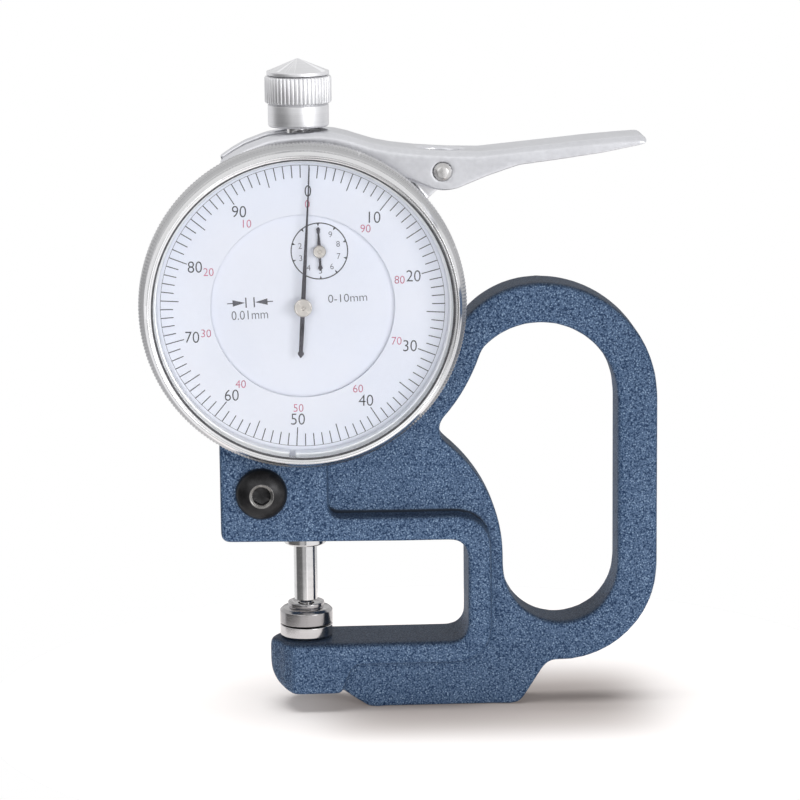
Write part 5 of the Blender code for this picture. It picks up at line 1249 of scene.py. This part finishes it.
def word(text: str, height: float, wide: float, place: Array, front: float, lean: float) -> Shape:
    """Makes a printed word from the built-in font, as a thin plate on a dial.

    The font's flat outline is filled, its box is moved to the origin, its height is scaled to the given one
    and its width by the same factor times wide, and it is then leaned and moved to its place.

    Args:
        text: What is printed.
        height: Height of the word's box.
        wide: Width factor.
        place: Middle of the word (x, z).
        front: Place of the printed surface along Y.
        lean: Clockwise lean in degrees.

    Returns:
        The word.
    """
    curve = bpy.data.curves.new("word", "FONT")
    curve.body, curve.fill_mode = text, "BOTH"
    curve.resolution_u, curve.extrude, curve.offset = 4, 0.5, -0.008
    item = new_object("word", curve)
    bpy.context.view_layer.update()
    mesh = bpy.data.meshes.new_from_object(item.evaluated_get(bpy.context.evaluated_depsgraph_get()))
    raw = read(mesh.vertices)
    faces = [tuple(face.vertices) for face in mesh.polygons]
    bpy.data.meshes.remove(mesh)
    bpy.data.objects.remove(item)
    bpy.data.curves.remove(curve)
    low, high = raw.min(axis=0), raw.max(axis=0)
    flat = raw[:, :2] - (low + high)[:2] / 2.0
    flat *= np.array([wide, 1.0]) * height / (high[1] - low[1])
    up, along = spokes(lean)
    x, z = (place + flat[:, :1] * along + flat[:, 1:] * up).T
    return Shape(np.stack([x, front - PRINT * (raw[:, 2] - low[2]) / (high[2] - low[2]), z], axis=-1), faces)


def words(name: str, texts: Sequence[object], places: Array, *layout: float) -> Piece:
    """Writes words into one piece.

    Args:
        name: The piece's name.
        texts: What is printed.
        places: The words' middles.
        *layout: Height, width factor, printed surface and lean, as in word.

    Returns:
        The piece.
    """
    height, wide, front, lean = layout
    return write_piece(name, Shape.joined(*(word(str(text), height, wide, place, front, lean)
                                            for text, place in zip(texts, places))))


def printed_ring(inner: float, outer: float, front: float, steps: int, line: Line) -> Shape:
    """Makes a thin printed ring round a line, on the surface at front."""
    near, far = front - PRINT, front + PRINT
    return turned(np.array([(inner, near), (outer, near), (outer, far), (inner, far)]), steps, line, True)


@dataclass
class Dial:
    """The turning scale and the fixed inner dial, with all their print."""

    tick_outer: float = 26.05
    tick_width: float = 0.17
    tick_lengths: tuple[float, float, float] = (2.3, 3.3, 3.45)
    edge_width: float = 0.07
    black_radius: float = 21.05
    black_size: Point = (2.1, 0.92)
    black_first: float = 0.3
    red_radius: float = 18.4
    red_size: Point = (1.45, 0.95)
    red_short: float = 0.55
    numeral_lean: float = 1.0
    counter_ring: float = 5.17
    counter_radius: float = 3.66
    counter_size: Point = (1.05, 1.0)
    ring_half: float = 0.1
    wedge_length: float = 0.62
    wedge_half: float = 0.24
    sign_at: Point = (-35.85, 80.0)
    division_at: Point = (-35.95, 77.72)
    division_size: Point = (1.66, 0.87)
    range_at: Point = (-17.95, 80.55)
    range_size: Point = (1.47, 1.02)

    def build(self) -> None:
        """Builds both dials and their print, with red numerals that count the other way inside the black ones."""
        line = [(16.9, -12.9, 0.12), (28.0, -12.9), (28.0, -12.4), (16.9, -12.4)]
        scale = turned_piece("scale_disc", line, 160, closed=True, arc=4, weighted=False)
        enter(scale, Body.BEZEL, Look.OUTER_ENAMEL, "scale_ring")
        line = [(0.0, -12.1), (18.5, -12.1), (18.5, -11.6), (0.0, -11.6)]
        enter(turned_piece("inner_disc", line, 128, weighted=False), Body.FRAME, Look.ENAMEL, "inner_dial")
        enter(self.ticks(), Body.BEZEL, Look.BLACK_INK)
        number = np.arange(10)
        way = spokes(36.0 * number + AT.scale_lean)[0]
        places = AT.dial.place + (self.black_radius + self.black_first * (number == 0))[:, None] * way
        black = words("scale_numerals", number * 10, places, *self.black_size, AT.scale_front, self.numeral_lean)
        enter(black, Body.BEZEL, Look.BLACK_INK)
        places = AT.dial.place + (self.red_radius + self.red_short * (number % 5 == 0))[:, None] * way
        red = words("reversed_numerals", -number % 10 * 10, places, *self.red_size, AT.scale_front, self.numeral_lean)
        enter(red, Body.BEZEL, Look.RED_INK)
        enter(self.counter_marks(), Body.FRAME, Look.BLACK_INK)
        places = AT.counter.place + self.counter_radius * spokes(-36.0 * number + AT.inner_lean)[0]
        small = words("counter_numerals", number, places, *self.counter_size, AT.inner_front, AT.inner_lean)
        enter(small, Body.FRAME, Look.GREY_INK)
        enter(self.unit_marks(), Body.FRAME, Look.GREY_INK)

    def ticks(self) -> Piece:
        """Makes the hundred ticks.

        Tick k is a rectangle about the ray at k times 3.6 degrees: its four corners are the ray's points at
        the outer and the inner radius, moved half a width to either side. The inner radius is smaller on
        every fifth and every tenth tick. A thin turned band of black print joins the outer ends; it is painted
        shade, standing for the thin dark edge line there.

        Returns:
            The ticks and the band as one piece.
        """
        number = np.arange(100)
        plain, fifth, tenth = self.tick_lengths
        length = np.where(number % 10 == 0, tenth, np.where(number % 5 == 0, fifth, plain))[:, None]
        way, across = spokes(number * 3.6 + AT.scale_lean)
        half = across * self.tick_width / 2.0
        outer, inner = way * self.tick_outer, way * (self.tick_outer - length)
        outlines = np.stack([outer - half, outer + half, inner + half, inner - half], axis=1) + AT.dial.place
        # the band along the tick ends is painted shade of the dark edge line, printed in black ink
        return write_piece("scale_ticks", Shape.joined(
            slab(outlines, AT.scale_front - PRINT, AT.scale_front + PRINT),
            printed_ring(self.tick_outer, self.tick_outer + self.edge_width, AT.scale_front, 160, AT.dial)))

    def counter_marks(self) -> Piece:
        """Makes the counter's ring and its ten small wedges.

        The ring is a thin turned band. Wedge k is a triangle that points inwards on the ray at k times 36
        degrees.

        Returns:
            Ring and wedges as one piece.
        """
        front, radius, half = AT.inner_front, self.counter_ring, self.ring_half
        band = printed_ring(radius - half, radius + half, front, 96, AT.counter)
        way, across = spokes(np.arange(10) * 36.0 + AT.inner_lean)
        outer, side = way * radius, across * self.wedge_half
        outlines = np.stack([outer - side, outer + side, way * (radius - self.wedge_length)], axis=1)
        wedges = slab(outlines + AT.counter.place, front - PRINT - 0.002, front + PRINT)
        return write_piece("counter_marks", Shape.joined(band, wedges))

    def unit_marks(self) -> Piece:
        """Makes the sign for one division, its size and the measuring range.

        Returns:
            Signs and words as one piece.
        """
        front, lean = AT.inner_front, AT.inner_lean
        up, along = spokes(lean)
        leaned = np.stack([along, up])
        arrow = np.array([(-1.0, 0.09), (-1.0, 0.6), (1.25, 0.0), (-1.0, -0.6), (-1.0, -0.09), (-2.0, -0.09),
                          (-2.0, 0.09)]) - np.array([2.2, 0.0])
        bar = np.array([(-0.12, -0.93), (0.12, -0.93), (0.12, 0.93), (-0.12, 0.93)])
        signs = (np.stack([arrow, (arrow * np.array([-1.0, 1.0]))[::-1]]),
                 np.stack([bar - np.array([0.75, 0.0]), bar + np.array([0.75, 0.0])]))
        plates = [slab(sign @ leaned + np.array(self.sign_at), front - PRINT, front + PRINT) for sign in signs]
        return write_piece("unit_marks", Shape.joined(
            *plates, word("0.01mm", *self.division_size, np.array(self.division_at), front, lean),
            word("0-10mm", *self.range_size, np.array(self.range_at), front, lean)))


@dataclass
class Pointers:
    """Both pointers and their hubs."""

    thickness: float = 0.25
    collar_wall: float = 0.3

    def build(self) -> None:
        """Builds the pointers and the hubs."""
        stations = [(-9.4, 0.06), (-8.7, 0.56), (-8.45, 0.56), (-8.2, 0.38), (0.0, 0.42), (4.0, 0.38), (8.0, 0.32),
                    (12.0, 0.26), (15.0, 0.20), (19.0, 0.15), (24.0, 0.09), (25.8, 0.06)]
        main = self.needle("main_hand", stations, AT.dial, AT.hand_lean, -14.15, 1.5)
        enter(main, Body.CENTRE, Look.HAND, "main_pointer")
        stations = [(-3.6, 0.04), (-3.15, 0.40), (-2.95, 0.40), (-2.55, 0.2), (0.0, 0.26), (1.3, 0.3), (3.4, 0.14),
                    (3.6, 0.16), (4.0, 0.34), (4.15, 0.34), (4.5, 0.04)]
        small = self.needle("counter_hand", stations, AT.counter, AT.counter_lean, -12.85, 1.1)
        enter(small, Body.COUNTER, Look.HAND, "counter_pointer")
        line = [(0.0, -14.9), (0.17, -14.85, 0.05), (0.2, -14.55), (0.38, -14.55, 0.04), (0.42, -14.92, 0.04),
                (1.3, -14.92, 0.04), (1.42, -15.0, 0.06), (1.65, -14.85, 0.14), (1.65, -14.45, 0.05),
                (1.15, -14.45), (1.15, -13.9), (0.0, -13.9)]
        enter(turned_piece("hand_hub", line, 72, arc=4, weighted=False), Body.CENTRE, Look.HUB, "pointer_hub")
        line = [(0.0, -13.4), (0.15, -13.36, 0.05), (0.18, -13.1), (0.34, -13.1, 0.04), (0.38, -13.34, 0.04),
                (0.92, -13.34, 0.04), (1.0, -13.42, 0.05), (1.18, -13.25, 0.1), (1.18, -12.9), (0.0, -12.9)]
        hub = turned_piece("counter_hub", line, 56, AT.counter, arc=4, weighted=False)
        enter(hub, Body.COUNTER, Look.COUNTER_HUB)

    def needle(self, name: str, stations: Sequence[Point], line: Line, lean: float, front: float,
               outer: float) -> Piece:
        """Makes a needle with a collar.

        A six-sided section with eased front edges is carried along the needle. At each station its width is
        the station's half width, and stations between those given are interpolated along a straight line.

        Args:
            name: The piece's name.
            stations: Distance from the axis and half width.
            line: The axis.
            lean: Clockwise angle in degrees.
            front: Front place along Y.
            outer: The collar's radius.

        Returns:
            Needle and collar.
        """
        far, half = np.array(stations).T
        distance = np.unique(np.concatenate([far, np.linspace(far[0], far[-1], 60)]))
        width = np.interp(distance, far, half)[:, None]
        section = np.array([(-1.0, 1.0), (-1.0, 0.45), (-0.55, 0.0), (0.55, 0.0), (1.0, 0.45), (1.0, 1.0)])
        way, across = spokes(lean)
        flat = line.place + distance[:, None, None] * way + (width * section[:, 0])[..., None] * across
        y = front + self.thickness * section[:, 1] + 0.0 * width
        grid = np.stack([flat[..., 0], y, flat[..., 1]], axis=-1)
        blade = Shape(grid.reshape(-1, 3), grid_faces(len(distance), 6, capped=True))
        bore, back = outer - self.collar_wall, front + self.thickness
        collar = fillet_line([(bore, front, 0.04), (outer, front, 0.08), (outer, back), (bore, back)], True, 3)
        return write_piece(name, Shape.joined(blade, turned(collar, 48, line, True)), 25.0)


def coil(name: str, radii: Point, ends: Point, line: Line, turns: int, points: int, wire: float,
         sides: int) -> Piece:
    """Makes a coiled wire.

    At share s of its length the wire's middle lies at radius r0 + (r1 - r0) s, angle 2 pi times the turns
    times s and height h0 + (h1 - h0) s about the line.

    Args:
        name: The piece's name.
        radii: The coil's radius at its start and end.
        ends: Its place along the axis at its start and end.
        line: The axis.
        turns: Whole turns.
        points: Points along the wire.
        wire: The wire's radius.
        sides: Points round the wire.

    Returns:
        The piece.
    """
    share = np.linspace(0.0, 1.0, points)
    radius, height = (pair[0] + (pair[1] - pair[0]) * share for pair in (radii, ends))
    return write_piece(name, carried(placed(radius, 2.0 * math.pi * turns * share, height, line), wire, sides), 50.0)


@dataclass
class LiftingGear:
    """The lever, its bracket, the riveted pin and the pin's spring."""

    voxel: float = 0.26
    passes: int = 18
    bracket_voxel: float = 0.2
    bracket_passes: int = 4
    spring_radius: float = 2.2
    spring_ends: Point = (2.95, 4.35)
    wire: float = 0.22

    def build(self) -> None:
        """Builds all pieces of the lifting gear."""
        lever = softened_copy("lever_channel", "lifting_lever", self.voxel, self.passes)
        enter(lever, Body.LEVER, Look.LEVER, "lifting_lever")
        bracket = softened_copy("bracket_block", "lever_bracket", self.bracket_voxel, self.bracket_passes)
        enter(bracket, Body.FRAME, Look.CASE, "lever_bracket")
        half = fillet_line([(0.0, 7.15), (1.0, 7.05, 0.6), (1.62, 6.55, 0.4), (1.7, 6.3), (1.2, 6.3)], steps=6)
        line = np.concatenate([half, (half * np.array([1.0, -1.0]))[::-1]])
        enter(write_piece("riveted_pin", turned(line, 56, AT.pivot), 40.0), Body.FRAME, Look.PLAIN, "lever_pin")
        spring = coil("lever_spring_wire", (self.spring_radius,) * 2, self.spring_ends, AT.pivot, 2, 97, self.wire,
                      10)
        enter(spring, Body.FRAME, Look.SPRING, "lever_spring")


@dataclass
class Springs:
    """The springs inside the case, as round wires."""

    return_line: Line = Line(-19.6, 0.0, Axis.Z)
    return_radius: float = 0.85
    return_wire: float = 0.22
    low: float = 57.92
    high: float = 62.93
    hair_radii: Point = (1.5, 5.9)
    hair_height: float = -6.75
    hair_wire: float = 0.15

    def build(self) -> None:
        """Builds the return spring as a fixed coil on no body, though the real one stretches with the spindle, and
        the hairspring.
        """
        low, high = self.low, self.high
        piece = coil("return_spring_wire", (self.return_radius,) * 2, (low, high), self.return_line, 5, 161,
                     self.return_wire, 8)
        piece.data.materials.append(Look.SPRING.material)
        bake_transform(piece)
        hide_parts("return_spring")
        LOG.info("%s: %d faces", piece.name, len(piece.data.polygons))
        hair = coil("hairspring_wire", self.hair_radii, (self.hair_height,) * 2, AT.counter, 4, 193, self.hair_wire,
                    6)
        enter(hair, Body.FRAME, Look.SPRING, "hairspring")


@dataclass
class Studio:
    """Camera, lamps, world and floor."""

    target: tuple[float, float, float] = (-7.9, 0.0, 58.8)
    distance: float = 632.0
    pitch: float = 11.0
    azimuth: float = 2.8
    roll: float = 0.6
    lens: float = 150.75
    floor_radius: float = 0.088
    floor_colour: Colour = (0.52, 0.51, 0.505)
    floor_glow: Colour = (0.215, 0.195, 0.188)
    floor_light: float = 4.85
    floor_spread: float = 52.0
    floor_lean: float = -4.0
    # painted shadow on the floor round the foot: its middle, sizes and powers, and the tone that the floor's colours
    # darken to
    shade_at: Point = (8.0, -2.0)
    shade_size: Point = (31.0, 22.5)
    shade_power: Point = (6.0, 4.0)
    shade_tone: Colour = (0.51, 0.48, 0.465)
    overhead: float = 0.92
    front_light: float = 3.3
    back_light: float = 2.1
    even_light: float = 0.03
    panels: tuple[Point, ...] = (
        (-180.0, 0.3), (180.0, 0.3), (-172.0, 0.4), (-160.0, 1.0), (-112.0, 1.0), (-98.0, 0.16), (-36.0, 0.20),
        (-26.0, 0.62), (-6.0, 0.66), (-3.0, 0.36), (3.0, 0.36), (7.0, 1.2), (60.0, 1.2), (100.0, 0.9), (150.0, 0.9),
        (166.0, 0.35),
    )

    def build(self) -> None:
        """Sets the view, the light and the floor."""
        scene = bpy.context.scene
        scene.view_settings.view_transform = "Standard"
        self.camera(scene)
        self.world(scene)
        self.floor()
        self.lamp("key", (0.40, -0.55, 0.16), 0.26, 1.2)
        self.lamp("fill", (-0.34, -0.68, 0.36), 0.50, 0.6)

    def camera(self, scene: bpy.types.Scene) -> None:
        """Places the camera.

        The view's direction is (sin a cos p, cos a cos p, -sin p) for azimuth a and pitch p, its right is
        (cos a, -sin a, 0) and its up is right crossed with direction. Both are then turned by the roll.

        Args:
            scene: The scene that gets the camera.
        """
        a, p, roll = (math.radians(angle) for angle in (self.azimuth, self.pitch, self.roll))
        ahead = Vector((math.sin(a) * math.cos(p), math.cos(a) * math.cos(p), -math.sin(p)))
        right = Vector((math.cos(a), -math.sin(a), 0.0))
        up = right.cross(ahead)
        across = math.cos(roll) * right - math.sin(roll) * up
        above = math.sin(roll) * right + math.cos(roll) * up
        place = (Vector(self.target) - self.distance * ahead) * MM
        camera = new_object("camera", bpy.data.cameras.new("camera"))
        camera.data.lens = self.lens
        camera.data.sensor_width = 36.0
        camera.data.clip_start = 0.01
        camera.matrix_world = Matrix.Translation(place) @ Matrix((across, above, -ahead)).transposed().to_4x4()
        scene.camera = camera

    def lamp(self, name: str, place: tuple[float, float, float], size: float, power: float) -> None:
        """Adds a square soft lamp that faces the gauge.

        Args:
            name: The lamp's name.
            place: Its place in metres.
            size: Its side in metres.
            power: Its power in watts.
        """
        lamp = new_object(name, bpy.data.lights.new(name, "AREA"))
        lamp.data.size, lamp.data.energy = size, power
        lamp.location = place
        lamp.rotation_euler = (Vector(self.target) * MM - Vector(place)).to_track_quat("-Z", "Y").to_euler()

    def world(self, scene: bpy.types.Scene) -> None:
        """Lights the world as a studio does.

        Camera and transmission rays see plain white. Glossy rays see panels by their angle round the gauge,
        atan2(x, -y), which fade into an even level overhead. Diffuse rays see even_light plus the eighth power
        of the direction's y times front_light in front and times back_light behind.

        Args:
            scene: The scene that gets the world.
        """
        world = bpy.data.worlds.new("studio")
        world.use_nodes = True
        world.cycles.sampling_method = "NONE"
        scene.world = world
        patch = Patch(world.node_tree)
        x, y, z = patch.parts(patch.add("TexCoord")["Generated"])
        turn = patch.math("ARCTAN2", x, patch.math("MULTIPLY", y, -1.0))
        share = patch.math("ADD", patch.math("DIVIDE", turn, 2.0 * math.pi), 0.5)
        ramp = patch.add("ValToRGB", {0: share})[0]
        stops = ramp.node.color_ramp.elements
        for index, (angle, level) in enumerate(self.panels):
            place = angle / 360.0 + 0.5
            stop = stops[index] if index < 2 else stops.new(place)
            stop.position = place
            stop.color = (level, level, level * 1.01, 1.0)
        panels = patch.mix(patch.span(z, 0.02, 0.30), ramp, (self.overhead,) * 3)
        level = patch.span(patch.math("GREATER_THAN", y, 0.0), 0.0, 1.0, self.front_light, self.back_light)
        even = patch.math("MULTIPLY", patch.math("POWER", patch.math("ABSOLUTE", y), 8.0), level)
        lit = patch.mix(patch.rays("Is Glossy Ray"), patch.math("ADD", even, self.even_light), panels)
        seen = patch.rays("Is Camera Ray", "Is Transmission Ray")
        patch.fill(world.node_tree.nodes["Background"], {"Color": patch.mix(seen, lit, (1.0, 1.0, 1.0))})

    def floor(self) -> None:
        """Lays the floor: a pale disc with its own white for camera, glossy and transmission rays.

        A broad light from above falls on the floor alone, where the frame alone shades it, so that a soft
        shadow lies beneath. A painted shadow also darkens the floor's colours round the foot by
        exp(-(u ** p + v ** q)), where u and v are the distances from the painted shadow's middle along X and Y
        over its two sizes, and p and q its two powers.
        """
        turn = around(96)
        rim = np.stack([np.cos(turn), np.sin(turn), 0.0 * turn], 1) * self.floor_radius / MM
        floor = write_piece("floor", Shape(rim, [tuple(range(96))]))
        material = bpy.data.materials.new("floor_pale")
        material.use_nodes = True
        patch = Patch(material.node_tree)
        parts = patch.parts(patch.add("TexCoord")["Object"])
        # painted shadow: the floor's colour and glow are darkened round the foot, on top of the lamp's real shadow
        powers = []
        for index, power in enumerate(self.shade_power):
            past = patch.math("SUBTRACT", parts[index], self.shade_at[index] * MM)
            share = patch.math("ABSOLUTE", patch.math("DIVIDE", past, self.shade_size[index] * MM))
            powers.append(patch.math("POWER", share, power))
        fade = patch.math("EXPONENT", patch.math("MULTIPLY", patch.math("ADD", *powers), -1.0))
        base, glow = (patch.mix(fade, colour, tuple(part * tone for part, tone in zip(colour, self.shade_tone)))
                      for colour in (self.floor_colour, self.floor_glow))
        patch.shade({"Roughness": 0.9, "Specular IOR Level": 0.0, "Base Color": base, "Emission Color": glow,
                     "Emission Strength": patch.rays("Is Camera Ray", "Is Glossy Ray", "Is Transmission Ray")})
        floor.data.materials.append(material)
        lamp = new_object("floor_light", bpy.data.lights.new("floor_light", "SUN"))
        lamp.data.energy, lamp.data.angle = self.floor_light, math.radians(self.floor_spread)
        lamp.location = (0.0, 0.0, 0.6)
        lamp.rotation_euler = (0.0, math.radians(self.floor_lean), 0.0)
        lit, shading = (bpy.data.collections.new(name) for name in ("floor_only", "shading"))
        lit.objects.link(floor)
        shading.objects.link(bpy.data.objects["painted_frame"])
        lamp.light_linking.receiver_collection, lamp.light_linking.blocker_collection = lit, shading


def dress_nodes(record: dict) -> None:
    """Gives every CAD node the first look of its slot.

    Args:
        record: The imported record.
    """
    for subpart in record["subparts"]:
        node, material = NODES[subpart["node"]], Look.of_slot(subpart["material_slot"]).material
        if not node.material_slots:
            node.data.materials.append(material)
        for slot in node.material_slots:
            slot.material = material


def main() -> None:
    """Builds the gauge's looks and the studio."""
    logging.basicConfig(level=logging.INFO, format="%(name)s %(message)s")
    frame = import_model()
    NODES.update(frame["nodes"])
    dress_nodes(frame["record"])
    for part in (Casting(), Plunger(), Case(), Bezel(), Dial(), Pointers(), LiftingGear(), Springs(), Studio()):
        part.build()
        LOG.info("%s built", type(part).__name__)
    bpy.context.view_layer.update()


if __name__ == "__main__":
    main()
